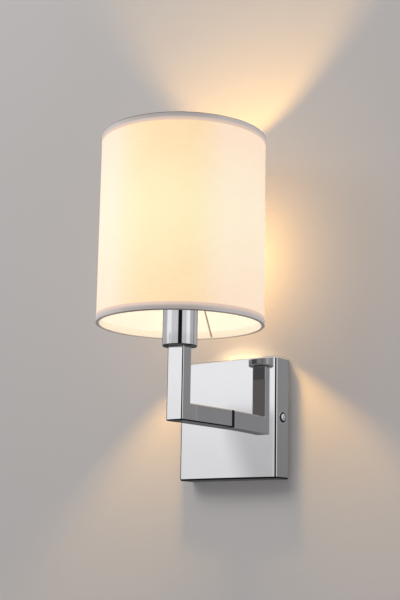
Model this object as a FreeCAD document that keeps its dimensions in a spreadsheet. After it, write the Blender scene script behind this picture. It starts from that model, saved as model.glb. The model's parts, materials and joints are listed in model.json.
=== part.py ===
import FreeCAD, Part
import math
import os
import re

import Sketcher
from FreeCAD import Placement, Rotation, Vector

# A wall sconce: a square back plate, a square-cornered arm and post, a turned cup with its
# lampholder, a drum shade on a three-armed carrier, and a small globe bulb.
# The wall is the plane Y = 0 and the room lies towards -Y. X runs to the right as one faces
# the wall and Z points up. The origin is the middle of the wall fixings. Sizes are in mm.

# Every size that can be set by itself: its name and its value.
SIZES = (
    # back plate, a pressed box open towards the wall
    ("plate_side", 110.0),
    ("plate_depth", 21.0),
    ("plate_wall", 1.2),
    ("plate_edge_round", 1.3),
    ("nipple_hole_gap", 0.2),
    ("cover_screw_depth", 9.0),
    ("cover_screw_shank", 2.0),
    ("cover_screw_hole_gap", 0.25),
    ("cover_screw_head", 4.6),
    ("cover_screw_head_height", 2.6),
    ("cover_screw_length", 9.0),
    ("thread_gap", 0.05),
    # strap that the plate hooks over and screws to
    ("strap_height", 20.0),
    ("strap_wall", 1.5),
    ("strap_tab", 15.0),
    ("strap_bend", 1.5),
    ("strap_side_gap", 0.3),
    ("cable_hole", 8.0),
    ("wall_slot_spacing", 60.0),
    ("wall_slot_length", 12.0),
    ("wall_slot_width", 5.0),
    ("tongue_width", 26.0),
    ("tongue_rise", 28.0),
    ("tongue_corner", 3.0),
    # two-pole terminal block on the strap's tongue
    ("pole_pitch", 11.0),
    ("block_rise", 8.0),
    ("block_height", 17.0),
    ("block_web", 3.0),
    ("barrel_radius", 3.6),
    ("tower_radius", 2.8),
    ("tower_height", 8.0),
    ("tower_inset", 4.2),
    ("sleeve_radius", 2.4),
    ("sleeve_bore", 1.5),
    ("clamp_screw", 1.2),
    ("clamp_screw_length", 5.5),
    ("block_screw", 1.2),
    ("block_screw_head", 1.7),
    ("block_screw_head_height", 1.5),
    # earth screw, its ring tags and their crimped tails
    ("earth_screw_offset", 16.0),
    ("earth_screw_shank", 2.0),
    ("earth_screw_head", 3.6),
    ("earth_screw_head_height", 2.2),
    ("tag_wall", 0.8),
    ("tag_rim", 2.2),
    ("tag_tail", 6.0),
    ("tag_tail_width", 3.0),
    ("crimp_radius", 1.3),
    ("crimp_lap", 4.0),
    # arm and post, mitred at the corner; the arm's length runs from the wall to the post's axis
    ("bar_width", 18.0),
    ("arm_height", 16.0),
    ("post_depth", 12.0),
    ("bar_wall", 1.0),
    ("bar_edge_round", 0.8),
    ("arm_length", 90.0),
    ("plug_length", 8.0),
    ("gasket_wall", 1.5),
    # hollow threaded nipples that the wires pass through
    ("arm_nipple", 5.0),
    ("arm_nipple_bore", 3.5),
    ("arm_nipple_end", 1.5),
    ("arm_nut_across", 14.0),
    ("arm_nut_height", 3.0),
    ("arm_washer", 9.0),
    ("arm_washer_wall", 1.0),
    ("post_nipple", 4.0),
    ("post_nipple_bore", 2.6),
    # cup
    ("cup_bottom", 58.0),
    ("cup_height", 48.0),
    ("cup_radius", 15.5),
    ("cup_wall", 0.8),
    ("cup_floor", 1.5),
    ("cup_edge_round", 0.8),
    # lampholder with a screw skirt for the shade's ring
    ("holder_boss", 8.0),
    ("holder_boss_height", 6.5),
    ("holder_base_height", 22.0),
    ("holder_base_wall", 1.5),
    ("holder_base_radius", 12.4),
    ("holder_cone_height", 12.0),
    ("holder_fit_gap", 0.1),
    ("skirt_radius", 14.0),
    ("skirt_lap", 8.0),
    ("skirt_rise", 19.0),
    ("skirt_lip", 3.0),
    ("skirt_mouth", 9.2),
    ("core_gap", 2.5),
    ("core_floor", 9.0),
    ("core_bore", 8.0),
    ("shell_wall", 0.45),
    ("shell_fit_gap", 0.3),
    ("contact_wall", 0.6),
    ("contact_width", 4.0),
    ("contact_length", 5.0),
    ("contact_drop", 4.0),
    ("holder_terminal_offset", 6.2),
    ("holder_terminal_side", 4.6),
    ("holder_terminal_height", 6.0),
    ("holder_screw", 1.1),
    ("holder_screw_length", 2.6),
    # wires inside
    ("wire_radius", 0.9),
    ("wire_spread", 1.25),
    ("wire_elbow", 15.0),
    ("wire_entry", 7.0),
    ("wire_hang", 4.0),
    ("wire_rise", 2.5),
    ("earth_wire_hang", 13.0),
    # drum shade
    ("shade_radius", 75.0),
    ("shade_height", 173.0),
    ("shade_drop", 29.0),
    ("fabric_wall", 0.4),
    ("liner_wall", 0.4),
    ("hem_wall", 0.3),
    ("hem_height", 7.0),
    ("hem_bevel", 0.25),
    ("rim_wire", 0.7),
    # carrier inside the shade
    ("spoke_wire", 0.8),
    ("spoke_knee", 50.5),
    ("spoke_bend", 8.0),
    ("spoke_slit_gap", 0.3),
    ("spoke_seat_gap", 0.1),
    ("fitter_radius", 20.5),
    ("fitter_wall", 1.2),
    ("fitter_hole_gap", 0.5),
    # screw ring that clamps the shade
    ("clamp_gap", 0.3),
    ("clamp_thread_gap", 0.3),
    ("clamp_flange", 19.5),
    ("clamp_flange_wall", 1.6),
    ("clamp_height", 9.5),
    ("clamp_wall", 1.8),
    ("clamp_rib", 2.0),
    ("clamp_rib_depth", 1.6),
    # bulb with a 14 mm screw cap
    ("cap_radius", 6.85),
    ("cap_wall", 0.4),
    ("cap_length", 22.0),
    ("cap_flare", 8.4),
    ("cap_flare_height", 2.0),
    ("insulator_tip", 3.5),
    ("insulator_height", 2.3),
    ("tip_radius", 2.3),
    ("tip_height", 0.5),
    ("collar_height", 18.0),
    ("collar_wall", 1.4),
    ("collar_lap", 5.0),
    ("collar_fit_gap", 0.1),
    ("globe_radius", 22.5),
    ("globe_wall", 1.0),
    ("globe_neck", 15.0),
    ("board_wall", 1.2),
    ("chip_side", 3.0),
    ("chip_height", 0.8),
    ("chip_circle", 10.0),
    # overrun of a cut past the face that it leaves
    ("overrun", 2.0),
)

# Places that follow from the sizes, as expressions in their names.
PLACES = {
    "plate_inner": "plate_side / 2 - plate_wall",
    "cover_floor": "plate_depth - plate_wall",
    "strap_half": "plate_inner - strap_side_gap",
    "strap_top": "strap_height / 2",
    "block_low": "strap_top + block_rise",
    "barrel_axis": "strap_wall + barrel_radius",
    "tower_row": "block_height / 2 - tower_inset",
    "nipple_tag_end": "arm_nipple + thread_gap + tag_rim + tag_tail",
    "strap_tag_end": "earth_screw_shank + thread_gap + tag_rim + tag_tail",
    "washer_back": "cover_floor - tag_wall - arm_washer_wall",
    "nut_back": "washer_back - arm_nut_height",
    "nipple_back": "nut_back - arm_nipple_end",
    "arm_start": "plate_depth + gasket_wall",
    "bar_outer": "arm_length + post_depth / 2",
    "bar_bore": "bar_width / 2 - bar_wall",
    "cup_top": "cup_bottom + cup_height",
    "cup_floor_top": "cup_bottom + cup_floor",
    "base_inner": "holder_base_radius - holder_base_wall",
    "base_top": "cup_floor_top + holder_base_height",
    "boss_top": "cup_floor_top + holder_boss_height",
    "skirt_bore": "holder_base_radius + holder_fit_gap",
    "skirt_low": "base_top - skirt_lap",
    "skirt_top": "cup_top + skirt_rise",
    "core_low": "base_top + core_gap",
    "core_seat": "core_low + core_floor",
    "core_top": "skirt_top - skirt_lip",
    "seat": "cup_top - contact_drop",
    "terminal_low": "core_low - holder_terminal_height",
    "fitter_hole": "skirt_radius + fitter_hole_gap",
    "spoke_level": "cup_top + fitter_wall / 2",
    "shade_low": "cup_top - shade_drop",
    "fabric_outer": "shade_radius - hem_wall",
    "fabric_inner": "fabric_outer - fabric_wall",
    "liner_inner": "fabric_inner - liner_wall",
    "rim_circle": "liner_inner - rim_wire",
    "hem_inner": "liner_inner - 2 * rim_wire - hem_wall",
    "roll_top": "hem_wall + 2 * rim_wire",
    "rim_height": "hem_wall + rim_wire",
    "spoke_fall": "spoke_level - shade_low - rim_height",
    "spoke_run": "rim_circle - spoke_knee",
    "spoke_slope": "sqrt(spoke_fall ^ 2 + spoke_run ^ 2)",
    "spoke_tuck": "spoke_bend * spoke_fall / (spoke_slope + spoke_run)",
    "spoke_entry": "spoke_knee - spoke_tuck",
    "clamp_low": "cup_top + fitter_wall + clamp_gap",
    "clamp_bore": "skirt_radius + clamp_thread_gap",
    "clamp_outer": "clamp_bore + clamp_wall",
    "insulator_top": "tip_height + insulator_height",
    "cap_inner": "cap_radius - cap_wall",
    "cap_top": "cap_length + cap_flare_height",
    "collar_top": "cap_top + collar_height",
    "neck_radius": "sqrt(globe_radius ^ 2 - globe_neck ^ 2)",
    "board_radius": "sqrt((globe_radius - globe_wall) ^ 2 - globe_neck ^ 2) - collar_fit_gap",
    "board_top": "collar_top + board_wall",
    "globe_middle": "collar_top + globe_neck",
}

SPOKES = 3
SPOKE_TURN = 105.0
CLAMP_RIBS = 16
LED_CHIPS = 8
FULL_TURN = 360.0
NEAR = 1e-4

# How a turned piece's axis is aimed from upright.
UPRIGHT = Rotation(Vector(0, 0, 1), 0)
TO_RIGHT = Rotation(Vector(0, 1, 0), 90)
TO_ROOM = Rotation(Vector(1, 0, 0), 90)
SPOKE_WAY = Rotation(Vector(0, 0, 1), SPOKE_TURN)

# Shares of a screw head's radius and height at its rim and shoulder.
HEAD_RIM_SHARE = 0.4
HEAD_SHOULDER_SHARE = 0.88
HEAD_CROWN_SHARE = 0.7

# A wire's arc takes this share of the shorter run beside it.
ARC_SHARE = 0.45

# Where the bulb's collar swells, as shares of the globe's neck and of its own height.
COLLAR_WAIST_SHARE = 0.8
COLLAR_RISE_SHARE = 0.5

POST_PLACE = ("0", "-arm_length")

doc = FreeCAD.newDocument("wall_sconce")
sheet = doc.addObject("Spreadsheet::Sheet", "Sizes")
meter = doc.addObject("App::FeaturePython", "Meter")
nodes = []
bends = []


def fill_sheet():
    """Writes each size's name and value in a row, and gives the value's cell its name."""
    for row, (name, value) in enumerate(SIZES, 1):
        sheet.set(f"A{row}", name)
        sheet.set(f"B{row}", str(value))
        sheet.setAlias(f"B{row}", name)
    meter.addProperty("App::PropertyFloat", "Reading")
    doc.recompute()


def cells(text):
    """An expression in the names above, pointed at the cells of the sheet."""
    names = {name for name, value in SIZES}

    def spell(match):
        word = match.group()
        if word in PLACES:
            return "(" + cells(PLACES[word]) + ")"
        return "Sizes." + word if word in names else word

    return re.sub(r"[a-z_]+", spell, text)


def length(text):
    """The present value of an expression."""
    meter.setExpression("Reading", cells(text))
    meter.recompute()
    return meter.Reading


def spot(across, back, up):
    return Vector(length(across), length(back), length(up))


def keep(piece, label, across="0", back="0", up="0", aim=UPRIGHT):
    """Names a piece, sets it in place and puts it on the list of those to write."""
    piece.Label = label
    piece.Placement = Placement(Vector(), aim)
    for axis, place in (("x", across), ("y", back), ("z", up)):
        piece.setExpression("Placement.Base." + axis, cells(place))
    nodes.append(piece)
    return piece


def new_body(label, across="0", back="0", up="0", aim=UPRIGHT):
    body = doc.addObject("PartDesign::Body", "Body_" + label)
    body.AllowCompound = True
    return keep(body, label, across, back, up, aim)


def origin_part(body, role):
    return next(item for item in body.Origin.OriginFeatures if item.Role == role)


def new_sketch(body, plane, offset="0"):
    """A sketch on one of the body's own planes, moved along the plane's normal."""
    sketch = body.newObject("Sketcher::SketchObject", "Sketch")
    sketch.AttachmentSupport = [(origin_part(body, plane), "")]
    sketch.MapMode = "FlatFace"
    sketch.setExpression("AttachmentOffset.Base.z", cells(offset))
    return sketch


def pin(sketch, item, end, across, up, start):
    """Ties a point of a sketch to two expressions."""
    for kind, axis, place, first in (("DistanceX", -2, across, start.x), ("DistanceY", -1, up, start.y)):
        if place == "0":
            sketch.addConstraint(Sketcher.Constraint("PointOnObject", item, end, axis))
            continue
        index = sketch.addConstraint(Sketcher.Constraint(kind, -1, 1, item, end, first))
        sketch.setExpression(f"Constraints[{index}]", cells(place))


def set_radius(sketch, item, radius):
    index = sketch.addConstraint(Sketcher.Constraint("Radius", item, length(radius)))
    sketch.setExpression(f"Constraints[{index}]", cells(radius))


def draw_outline(sketch, corners):
    """A closed outline of straight sides through corners, each a pair of expressions."""
    count = len(corners)
    first = sketch.GeometryCount
    turns = [2 * math.pi * step / count for step in range(count)]
    spots = [Vector(math.cos(turn), math.sin(turn), 0) for turn in turns]
    for step in range(count):
        sketch.addGeometry(Part.LineSegment(spots[step], spots[(step + 1) % count]), False)
    for step in range(count):
        following = first + (step + 1) % count
        sketch.addConstraint(Sketcher.Constraint("Coincident", first + step, 2, following, 1))
    for step, (across, up) in enumerate(corners):
        pin(sketch, first + step, 1, across, up, spots[step])


def draw_block(sketch, left, low, right, high):
    draw_outline(sketch, ((left, low), (right, low), (right, high), (left, high)))


def draw_circle(sketch, radius, across="0", up="0"):
    centre = Vector(length(across), length(up), 0)
    item = sketch.addGeometry(Part.Circle(centre, Vector(0, 0, 1), length(radius)), False)
    pin(sketch, item, 3, across, up, centre)
    set_radius(sketch, item, radius)


def draw_slot(sketch, across, width, span):
    """A level slot about (across, 0), with half-round ends."""
    round_end = length(width) / 2
    ends = []
    for sign, start in (("-", math.pi / 2), ("+", -math.pi / 2)):
        place = f"{across} {sign} ({span} - {width}) / 2"
        centre = Vector(length(place), 0, 0)
        circle = Part.Circle(centre, Vector(0, 0, 1), round_end)
        arc = sketch.addGeometry(Part.ArcOfCircle(circle, start, start + math.pi), False)
        pin(sketch, arc, 3, place, "0", centre)
        set_radius(sketch, arc, f"{width} / 2")
        ends.append((arc, centre))
    (left, left_spot), (right, right_spot) = ends
    rise = Vector(0, round_end, 0)
    top = sketch.addGeometry(Part.LineSegment(right_spot + rise, left_spot + rise), False)
    low = sketch.addGeometry(Part.LineSegment(left_spot - rise, right_spot - rise), False)
    for first, following in ((right, top), (top, left), (left, low), (low, right)):
        sketch.addConstraint(Sketcher.Constraint("Tangent", first, 2, following, 1))


def pad(body, sketch, run, reverse=False, middle=False):
    feature = body.newObject("PartDesign::Pad", "Pad")
    feature.Profile = sketch
    feature.Midplane = middle
    feature.Reversed = reverse
    feature.setExpression("Length", cells(run))
    doc.recompute()
    return feature


def pocket(body, sketch, run, reverse=False, middle=False):
    """Cuts against the sketch's normal, or along it when reversed."""
    before = body.Shape.Volume
    feature = body.newObject("PartDesign::Pocket", "Pocket")
    feature.Profile = sketch
    feature.Midplane = middle
    feature.Reversed = reverse
    feature.setExpression("Length", cells(run))
    doc.recompute()
    if body.Shape.Volume >= before:
        raise RuntimeError(f"a cut in {body.Label} takes nothing away")
    return feature


def round_edges(body, wanted, radius):
    """Rounds the edges that the test picks. Edges are judged in the body's own frame."""
    former = body.Tip
    picked = [f"Edge{number}" for number, edge in enumerate(former.Shape.Edges, 1) if wanted(edge)]
    feature = body.newObject("PartDesign::Fillet", "Rounding")
    feature.Base = (former, picked)
    feature.setExpression("Radius", cells(radius))
    body.Tip = feature
    doc.recompute()
    return feature


def along(edge, direction):
    """Whether an edge is straight and runs along a direction."""
    if not isinstance(edge.Curve, Part.Line):
        return False
    return abs(edge.tangentAt(edge.FirstParameter).dot(direction)) > 1 - NEAR


def level_circle(edge, radius, height):
    """Whether an edge is a level circle of this radius at this height."""
    if not isinstance(edge.Curve, Part.Circle):
        return False
    same_radius = math.isclose(edge.Curve.Radius, length(radius), rel_tol=NEAR)
    return same_radius and math.isclose(edge.Curve.Center.z, length(height), rel_tol=NEAR, abs_tol=NEAR)


def polar_copies(body, feature, count):
    pattern = body.newObject("PartDesign::PolarPattern", "Copies")
    pattern.Originals = [feature]
    pattern.Axis = (origin_part(body, "Z_Axis"), [""])
    pattern.Angle = FULL_TURN
    pattern.Occurrences = count
    body.Tip = pattern
    doc.recompute()


def mirror_copy(body, features, plane):
    mirror = body.newObject("PartDesign::Mirrored", "Mirror")
    mirror.Originals = features
    mirror.MirrorPlane = (origin_part(body, plane), [""])
    body.Tip = mirror
    doc.recompute()


def turned(label, corners, *place, aim=UPRIGHT):
    """A piece turned about its own Z axis from an outline of (radius, height) corners."""
    body = new_body(label, *place, aim=aim)
    sketch = new_sketch(body, "XZ_Plane")
    draw_outline(sketch, corners)
    feature = body.newObject("PartDesign::Revolution", "Turning")
    feature.Profile = sketch
    feature.ReferenceAxis = (sketch, ["V_Axis"])
    feature.Angle = FULL_TURN
    doc.recompute()
    return body


def sleeve_corners(inner, outer, low, high):
    return ((inner, low), (outer, low), (outer, high), (inner, high))


def screw_corners(face, shank, run, head, tall):
    """A round-headed screw's outline, its head's underside at the height called face."""
    return (
        ("0", f"{face} - {run}"), (shank, f"{face} - {run}"), (shank, face), (head, face),
        (head, f"{face} + {tall} * {HEAD_RIM_SHARE}"),
        (f"{head} * {HEAD_CROWN_SHARE}", f"{face} + {tall} * {HEAD_SHOULDER_SHARE}"),
        ("0", f"{face} + {tall}"))


def bent_path(points, widest):
    """Straight runs through the points with a tangent arc at each turn, as large as fits."""
    edges = []
    start = points[0]
    for before, corner, after in zip(points, points[1:], points[2:]):
        back = before - corner
        ahead = after - corner
        half_turn = (math.pi - back.getAngle(ahead)) / 2
        room = ARC_SHARE * min(back.Length, ahead.Length) / math.tan(half_turn)
        radius = min(room, widest)
        reach = radius * math.tan(half_turn)
        back.normalize()
        ahead.normalize()
        inward = (back + ahead).normalize()
        entry = corner + back * reach
        leave = corner + ahead * reach
        middle = corner + inward * (radius / math.cos(half_turn) - radius)
        edges.append(Part.LineSegment(start, entry).toShape())
        edges.append(Part.Arc(entry, middle, leave).toShape())
        start = leave
        bends.append(radius)
    edges.append(Part.LineSegment(start, points[-1]).toShape())
    return Part.Wire(edges)


def wire_along(label, route):
    """A wire's tube along a route of points, each three expressions."""
    points = [spot(*place) for place in route]
    path = bent_path(points, length("wire_elbow"))
    first = points[1] - points[0]
    section = Part.Wire([Part.makeCircle(length("wire_radius"), points[0], first)])
    tube = Part.Solid(path.makePipeShell([section], True, False))
    piece = doc.addObject("Part::Feature", "Wire_" + label)
    piece.Shape = tube
    keep(piece, label)
    even = math.pi * length("wire_radius") ** 2 * path.Length
    print(label, "length", round(path.Length, 1), "volume over section times length",
          round(tube.Volume / even, 4), "least bend", round(min(bends), 1))
    bends.clear()


def backplate_cover():
    """The square pressed box, with a hole for the arm's nipple and one screw hole each side."""
    body = new_body("backplate_cover")
    square = new_sketch(body, "XZ_Plane")
    draw_block(square, "-plate_side / 2", "-plate_side / 2", "plate_side / 2", "plate_side / 2")
    pad(body, square, "plate_depth")
    front = -length("plate_depth")
    round_edges(
        body,
        lambda edge: along(edge, Vector(0, 1, 0)) or math.isclose(edge.CenterOfMass.y, front, rel_tol=NEAR),
        "plate_edge_round")
    hollow = new_sketch(body, "XZ_Plane")
    draw_block(hollow, "-plate_inner", "-plate_inner", "plate_inner", "plate_inner")
    pocket(body, hollow, "cover_floor", reverse=True)
    hole = new_sketch(body, "XZ_Plane")
    draw_circle(hole, "arm_nipple + nipple_hole_gap")
    pocket(body, hole, "plate_depth + overrun", reverse=True)
    sides = new_sketch(body, "YZ_Plane")
    draw_circle(sides, "cover_screw_shank + cover_screw_hole_gap", across="-cover_screw_depth")
    pocket(body, sides, "plate_side + overrun", middle=True)


def cover_screws():
    """One screw each side, head outside the cover and shank in the strap's tab."""
    body = turned("cover_screws", screw_corners(
        "plate_side / 2", "cover_screw_shank", "cover_screw_length", "cover_screw_head",
        "cover_screw_head_height"), "0", "-cover_screw_depth", aim=TO_RIGHT)
    mirror_copy(body, [body.Tip], "XY_Plane")


def wall_strap():
    """The strap: two tabs bent forward, two level slots, a cable hole and a tongue above."""
    body = new_body("wall_strap")
    path = new_sketch(body, "XY_Plane")
    inner = "(strap_half - strap_wall)"
    draw_outline(path, (
        ("-strap_half", "0"), ("strap_half", "0"), ("strap_half", "-strap_tab"), (inner, "-strap_tab"),
        (inner, "-strap_wall"), ("-" + inner, "-strap_wall"), ("-" + inner, "-strap_tab"),
        ("-strap_half", "-strap_tab")))
    pad(body, path, "strap_height", middle=True)
    upright = Vector(0, 0, 1)
    front = -length("strap_wall")
    round_edges(body, lambda edge: along(edge, upright) and abs(edge.CenterOfMass.y) < NEAR,
                "strap_bend + strap_wall")
    round_edges(body, lambda edge: along(edge, upright) and math.isclose(edge.CenterOfMass.y, front),
                "strap_bend")
    tongue = new_sketch(body, "XZ_Plane")
    draw_block(tongue, "-tongue_width / 2", "0", "tongue_width / 2", "strap_top + tongue_rise")
    pad(body, tongue, "strap_wall")
    top = length("strap_top + tongue_rise")
    round_edges(body, lambda edge: along(edge, Vector(0, 1, 0)) and math.isclose(edge.CenterOfMass.z, top),
                "tongue_corner")
    openings = new_sketch(body, "XZ_Plane")
    draw_circle(openings, "cable_hole")
    draw_circle(openings, "earth_screw_shank + thread_gap", across="-earth_screw_offset")
    draw_circle(openings, "block_screw + thread_gap", up="block_low + block_height / 2")
    draw_slot(openings, "wall_slot_spacing / 2", "wall_slot_width", "wall_slot_length")
    draw_slot(openings, "-wall_slot_spacing / 2", "wall_slot_width", "wall_slot_length")
    pocket(body, openings, "strap_wall", reverse=True)
    tapped = new_sketch(body, "YZ_Plane")
    draw_circle(tapped, "cover_screw_shank + thread_gap", across="-cover_screw_depth")
    pocket(body, tapped, "plate_side", middle=True)


def terminal_block():
    """A two-pole block: a web, a barrel for each wire way and a screw tower at each end of it."""
    place = ("0", "-strap_wall", "block_low + block_height / 2")
    body = new_body("terminal_block", *place)
    web = new_sketch(body, "XZ_Plane")
    side = "(pole_pitch / 2 + barrel_radius)"
    draw_block(web, "-" + side, "-block_height / 2", side, "block_height / 2")
    pad(body, web, "block_web")
    barrels = new_sketch(body, "XY_Plane")
    for sign in "-+":
        draw_circle(barrels, "barrel_radius", across=f"0 {sign} pole_pitch / 2", up="-barrel_radius")
    pad(body, barrels, "block_height", middle=True)
    towers = new_sketch(body, "XZ_Plane", "barrel_radius")
    ways = [(f"0 {side_sign} pole_pitch / 2", f"0 {row_sign} tower_row")
            for side_sign in "-+" for row_sign in "-+"]
    for across, up in ways:
        draw_circle(towers, "tower_radius", across, up)
    pad(body, towers, "tower_height")
    bores = new_sketch(body, "XY_Plane")
    for sign in "-+":
        draw_circle(bores, "sleeve_radius", across=f"0 {sign} pole_pitch / 2", up="-barrel_radius")
    pocket(body, bores, "block_height + overrun", middle=True)
    screw_ways = new_sketch(body, "XZ_Plane", "barrel_radius")
    for across, up in ways:
        draw_circle(screw_ways, "clamp_screw + thread_gap", across, up)
    pocket(body, screw_ways, "tower_height + overrun", reverse=True)
    middle = new_sketch(body, "XZ_Plane")
    draw_circle(middle, "block_screw + thread_gap")
    pocket(body, middle, "block_web + overrun", reverse=True)

    sleeves = new_body("terminal_sleeves", *place)
    rings = new_sketch(sleeves, "XY_Plane")
    for sign in "-+":
        for radius in ("sleeve_radius", "sleeve_bore"):
            draw_circle(rings, radius, across=f"0 {sign} pole_pitch / 2", up="-barrel_radius")
    pad(sleeves, rings, "block_height - overrun", middle=True)
    taps = new_sketch(sleeves, "XZ_Plane", "barrel_radius")
    for across, up in ways:
        draw_circle(taps, "clamp_screw + thread_gap", across, up)
    pocket(sleeves, taps, "tower_height", reverse=True)

    screws = new_body("terminal_screws", *place)
    shanks = new_sketch(screws, "XZ_Plane", "barrel_radius + wire_radius")
    for across, up in ways:
        draw_circle(shanks, "clamp_screw", across, up)
    pad(screws, shanks, "clamp_screw_length")

    turned("block_screw", screw_corners(
        "block_web", "block_screw", "block_web + strap_wall", "block_screw_head",
        "block_screw_head_height"),
        *place, aim=TO_ROOM)


def ring_tag(label, hole, lift, *place):
    """A flat ring tag whose tail points down and ends in a crimp for the wire."""
    body = new_body(label, *place)
    disc = new_sketch(body, "XZ_Plane")
    draw_circle(disc, f"{hole} + tag_rim")
    pad(body, disc, "tag_wall")
    tail = new_sketch(body, "XZ_Plane")
    end = f"({hole} + tag_rim + tag_tail)"
    draw_block(tail, "-tag_tail_width / 2", f"-{end} + crimp_lap / 2", "tag_tail_width / 2",
               f"-{hole} - tag_rim / 2")
    pad(body, tail, "tag_wall")
    crimp = new_sketch(body, "XY_Plane", "-" + end)
    draw_circle(crimp, "crimp_radius", up=lift)
    pad(body, crimp, "crimp_lap")
    middle = new_sketch(body, "XZ_Plane")
    draw_circle(middle, hole)
    pocket(body, middle, "tag_wall", reverse=True)


def earth_bond():
    """The earth screw, a ring tag on it and on the arm's nipple, and the wire between them."""
    ring_tag("nipple_tag", "(arm_nipple + thread_gap)", "crimp_radius - tag_wall",
             "0", "-(cover_floor - tag_wall)")
    ring_tag("strap_tag", "(earth_screw_shank + thread_gap)", "-crimp_radius",
             "-earth_screw_offset", "-strap_wall")
    turned("earth_screw", screw_corners(
        "strap_wall + tag_wall", "earth_screw_shank", "strap_wall + tag_wall", "earth_screw_head",
        "earth_screw_head_height"), "-earth_screw_offset", aim=TO_ROOM)
    front = "-(cover_floor - crimp_radius)"
    rear = "-(strap_wall + crimp_radius)"
    wire_along("earth_wire", (
        ("0", front, "-nipple_tag_end"),
        ("0", front, "-nipple_tag_end - earth_wire_hang"),
        ("-earth_screw_offset", rear, "-strap_tag_end - earth_wire_hang"),
        ("-earth_screw_offset", rear, "-strap_tag_end")))


def arm_fixing():
    """The hollow nipple from the arm's plug through the cover, with its washer and nut."""
    turned("arm_nipple", sleeve_corners(
        "arm_nipple_bore", "arm_nipple", "nipple_back", "arm_start + plug_length"), aim=TO_ROOM)
    turned("arm_washer", sleeve_corners(
        "arm_nipple + thread_gap", "arm_washer", "washer_back", "washer_back + arm_washer_wall"),
        aim=TO_ROOM)
    nut = new_body("arm_nut", "0", "-nut_back")
    faces = new_sketch(nut, "XZ_Plane")
    reach = "arm_nut_across / 2 * "
    corner_shares = [(math.cos(turn) / math.cos(math.pi / 6), math.sin(turn) / math.cos(math.pi / 6))
                     for turn in (math.pi * step / 3 for step in range(6))]
    draw_outline(faces, [(f"{reach}({across:.9f})", f"{reach}({up:.9f})") for across, up in corner_shares])
    pad(nut, faces, "arm_nut_height")
    bore = new_sketch(nut, "XZ_Plane")
    draw_circle(bore, "arm_nipple + thread_gap")
    pocket(nut, bore, "arm_nut_height + overrun", reverse=True)


def square_tube(body, plane, half_across, half_up, run, offset="0"):
    """A rectangular tube with rounded outer corners."""
    outer = new_sketch(body, plane, offset)
    draw_block(outer, "-" + half_across, "-" + half_up, half_across, half_up)
    pad(body, outer, run)
    direction = Vector(0, 1, 0) if plane == "XZ_Plane" else Vector(0, 0, 1)
    round_edges(body, lambda edge: along(edge, direction), "bar_edge_round")
    inner = new_sketch(body, plane, offset)
    wide = f"({half_across} - bar_wall)"
    high = f"({half_up} - bar_wall)"
    draw_block(inner, "-" + wide, "-" + high, wide, high)
    pocket(body, inner, run, reverse=True)


def arm_gasket():
    """The black gasket between the plate and the arm's end."""
    body = new_body("arm_gasket", "0", "-plate_depth")
    square = new_sketch(body, "XZ_Plane")
    draw_block(square, "-bar_width / 2", "-arm_height / 2", "bar_width / 2", "arm_height / 2")
    pad(body, square, "gasket_wall")
    round_edges(body, lambda edge: along(edge, Vector(0, 1, 0)), "bar_edge_round")
    hole = new_sketch(body, "XZ_Plane")
    draw_circle(hole, "arm_nipple + nipple_hole_gap")
    pocket(body, hole, "gasket_wall", reverse=True)


def arm_tube():
    """The level tube, from the plate to the mitre."""
    body = new_body("arm_tube", "0", "-arm_start")
    square_tube(body, "XZ_Plane", "(bar_width / 2)", "(arm_height / 2)", "(bar_outer - arm_start)")
    mitre = new_sketch(body, "YZ_Plane")
    near = "-(arm_length - arm_start - 1.5 * post_depth)"
    far = "-(arm_length - arm_start + 1.5 * post_depth)"
    draw_outline(mitre, ((far, "-1.5 * arm_height"), (near, "1.5 * arm_height"), (far, "1.5 * arm_height")))
    pocket(body, mitre, "bar_width + overrun", middle=True)


def post_tube():
    """The upright tube, from the mitre to the cup."""
    body = new_body("post_tube", *POST_PLACE)
    square_tube(body, "XY_Plane", "(bar_width / 2)", "(post_depth / 2)", "(cup_bottom + arm_height / 2)",
                offset="-arm_height / 2")
    mitre = new_sketch(body, "YZ_Plane")
    draw_outline(mitre, (
        ("-1.5 * post_depth", "-1.5 * arm_height"), ("1.5 * post_depth", "-1.5 * arm_height"),
        ("1.5 * post_depth", "1.5 * arm_height")))
    pocket(body, mitre, "bar_width + overrun", middle=True)


def end_plugs():
    """The tapped steel plugs that close the two free ends of the bent bar."""
    arm = new_body("arm_plug", "0", "-arm_start")
    block = new_sketch(arm, "XZ_Plane")
    high = "(arm_height / 2 - bar_wall)"
    draw_block(block, "-bar_bore", "-" + high, "bar_bore", high)
    pad(arm, block, "plug_length")
    tap = new_sketch(arm, "XZ_Plane")
    draw_circle(tap, "arm_nipple + thread_gap")
    pocket(arm, tap, "plug_length + overrun", reverse=True)
    post = new_body("post_plug", *POST_PLACE, "cup_bottom - plug_length")
    block = new_sketch(post, "XY_Plane")
    deep = "(post_depth / 2 - bar_wall)"
    draw_block(block, "-bar_bore", "-" + deep, "bar_bore", deep)
    pad(post, block, "plug_length")
    tap = new_sketch(post, "XY_Plane")
    draw_circle(tap, "post_nipple + thread_gap")
    pocket(post, tap, "plug_length + overrun", reverse=True)


def cup_and_nipple():
    """The turned cup on the post's end, and the nipple that draws lampholder, cup and post together."""
    turned("post_nipple", sleeve_corners(
        "post_nipple_bore", "post_nipple", "cup_bottom - plug_length", "boss_top"), *POST_PLACE)
    inner = "cup_radius - cup_wall"
    cup = turned("socket_cup", (
        ("post_nipple + thread_gap", "0"), ("cup_radius", "0"), ("cup_radius", "cup_height"),
        (inner, "cup_height"), (inner, "cup_floor"), ("post_nipple + thread_gap", "cup_floor")),
        *POST_PLACE, "cup_bottom")
    round_edges(cup, lambda edge: level_circle(edge, "cup_radius", "0"), "cup_edge_round")


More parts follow.
